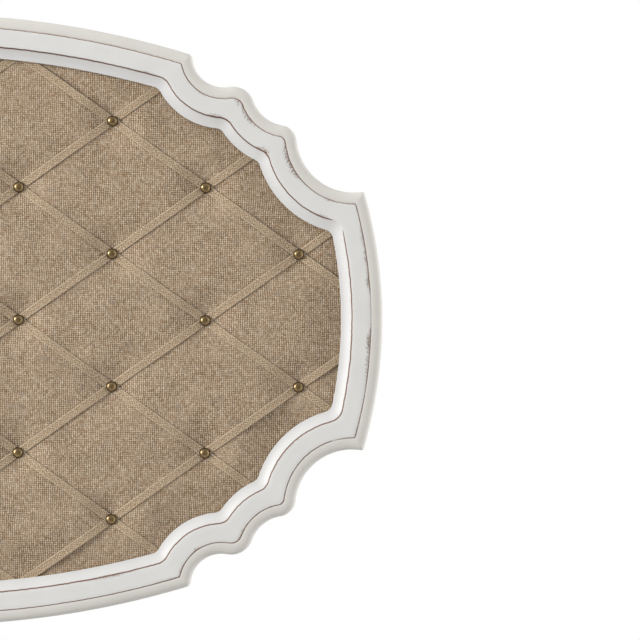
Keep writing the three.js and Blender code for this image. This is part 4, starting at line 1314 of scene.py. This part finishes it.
class MEMO_OT_stage(bpy.types.Operator):
    """Sets the camera, the lights, the surround and the floor"""

    bl_idname = "memo_board.stage"
    bl_label = "Stage"

    def execute(self, context):
        scene = context.scene
        settings = scene.memo_stage
        scene.view_settings.view_transform = "Standard"
        self.place_camera(scene, settings)
        self.place_lights(scene, settings)
        self.surround(scene)
        self.lay_floor(scene, settings)
        return {"FINISHED"}

    def place_camera(self, scene, settings):
        """A long lens straight in front of the board."""
        sensor = 36
        lens = bpy.data.cameras.new("front camera")
        lens.sensor_width = sensor
        lens.lens = sensor * settings.distance / settings.frame_width
        lens.clip_end = 100
        camera = bpy.data.objects.new("front camera", lens)
        camera.location = (settings.middle_x, FACE_Y - settings.distance, settings.middle_z)
        camera.rotation_euler = (math.pi / 2, settings.roll, 0)
        scene.collection.objects.link(camera)
        scene.camera = camera

    def place_lights(self, scene, settings):
        """Two soft square lights that face the board, each with its place, size and power."""
        aim = Vector((0.2, 0, 0))
        for name, place, size, power in (
            ("left key", (-6.6, -3.3, 1.9), 2.6, settings.key),
            ("overhead", (0.6, -2.2, 5.5), 3.0, settings.top),
        ):
            lamp = bpy.data.lights.new(name, "AREA")
            lamp.size = size
            lamp.energy = power
            light = bpy.data.objects.new(name, lamp)
            light.location = place
            light.rotation_euler = (aim - Vector(place)).to_track_quat("-Z", "Y").to_euler()
            light.visible_camera = False
            scene.collection.objects.link(light)

    def surround(self, scene):
        """A white surround to the eye that lights more from the right and from above, and less
        from the front, where the camera stands, and from below."""
        world = bpy.data.worlds.new("white surround")
        world.use_nodes = True
        scene.world = world
        tree = world.node_tree
        tree.nodes.clear()
        way = add(tree, "TexCoord", {}, "Generated")
        x = add(tree, "SeparateXYZ", {0: way})
        y = x.node.outputs[1]
        z = x.node.outputs[2]
        front = add(tree, "MapRange", {0: y, 1: -0.95, 2: -0.6, 3: 0.28, 4: 1})
        high = add(tree, "MapRange", {0: z, 1: -0.8, 2: 0.4, 3: 0.63, 4: 0.75})
        right = add(tree, "MapRange", {0: x, 1: 0.42, 2: 0.88, 3: 0.83, 4: 2.8})
        level = add(tree, "Math", {0: front, 1: high}, operation="MULTIPLY")
        level = add(tree, "Math", {0: level, 1: right}, operation="MULTIPLY")
        rays = add(tree, "LightPath", {}).node.outputs
        behind = add(tree, "MapRange", {0: y, 1: -0.1, 2: 0.25})
        behind = add(tree, "Math", {0: behind, 1: rays["Is Glossy Ray"]}, operation="MULTIPLY")
        seen = add(tree, "Math", {0: rays["Is Camera Ray"], 1: behind}, operation="MAXIMUM")
        seen = add(tree, "Math", {0: seen, 1: rays["Is Transmission Ray"]}, operation="MAXIMUM")
        lit = add(tree, "Background", {"Color": (1, 1, 1, 1), "Strength": level})
        white = add(tree, "Background", {"Color": (1, 1, 1, 1), "Strength": 1})
        shader = add(tree, "MixShader", {0: seen, 1: lit, 2: white})
        add(tree, "OutputWorld", {"Surface": shader})

    def lay_floor(self, scene, settings):
        """A pale floor under the board that fades out at its edges."""
        reach = (1.2, 1.0)
        corners = [(x * reach[0], y * reach[1], 0) for x, y in ((-1, -1), (1, -1), (1, 1), (-1, 1))]
        mesh = bpy.data.meshes.new("studio_floor")
        mesh.from_pydata(corners, [], [(0, 1, 2, 3)])
        mesh.materials.append(matt_floor(settings, reach))
        floor = bpy.data.objects.new("studio_floor", mesh)
        floor.location = (0, 0, -settings.floor_drop)
        floor.visible_diffuse = False
        scene.collection.objects.link(floor)


OPERATORS = (
    MEMO_OT_stage,
    MEMO_OT_moulding,
    MEMO_OT_batting,
    MEMO_OT_cloth,
    MEMO_OT_boards,
    MEMO_OT_tapes,
    MEMO_OT_tacks,
    MEMO_OT_screws,
    MEMO_OT_bumpers,
    MEMO_OT_hangers,
)
SETTINGS = {
    "memo_moulding": MouldingSettings,
    "memo_panel": PanelSettings,
    "memo_tapes": TapeSettings,
    "memo_fittings": FittingSettings,
    "memo_stage": StageSettings,
}


class MEMO_PT_board(bpy.types.Panel):
    """Lists the board's settings and the operators that make its pieces"""

    bl_idname = "MEMO_PT_board"
    bl_label = "Memo board"
    bl_space_type = "VIEW_3D"
    bl_region_type = "UI"
    bl_category = "Memo board"

    def draw(self, context):
        for operator in OPERATORS:
            self.layout.operator(operator.bl_idname)
        for name, group in SETTINGS.items():
            box = self.layout.box()
            for key in group.__annotations__:
                box.prop(getattr(context.scene, name), key)


def register():
    """Registers the settings, the operators and the panel."""
    for group in SETTINGS.values():
        bpy.utils.register_class(group)
    for name, group in SETTINGS.items():
        setattr(bpy.types.Scene, name, bpy.props.PointerProperty(type=group))
    for operator in OPERATORS:
        bpy.utils.register_class(operator)
    bpy.utils.register_class(MEMO_PT_board)


def unregister():
    """Takes back what register made."""
    bpy.utils.unregister_class(MEMO_PT_board)
    for operator in reversed(OPERATORS):
        bpy.utils.unregister_class(operator)
    for name, group in SETTINGS.items():
        delattr(bpy.types.Scene, name)
        bpy.utils.unregister_class(group)


def main():
    """Makes the board and its stage."""
    register()
    bpy.ops.memo_board.stage()
    bpy.ops.memo_board.moulding()
    bpy.ops.memo_board.batting()
    bpy.ops.memo_board.cloth()
    bpy.ops.memo_board.boards()
    bpy.ops.memo_board.tapes()
    bpy.ops.memo_board.tacks()
    bpy.ops.memo_board.screws()
    bpy.ops.memo_board.bumpers()
    bpy.ops.memo_board.hangers()


if __name__ == "__main__":
    main()
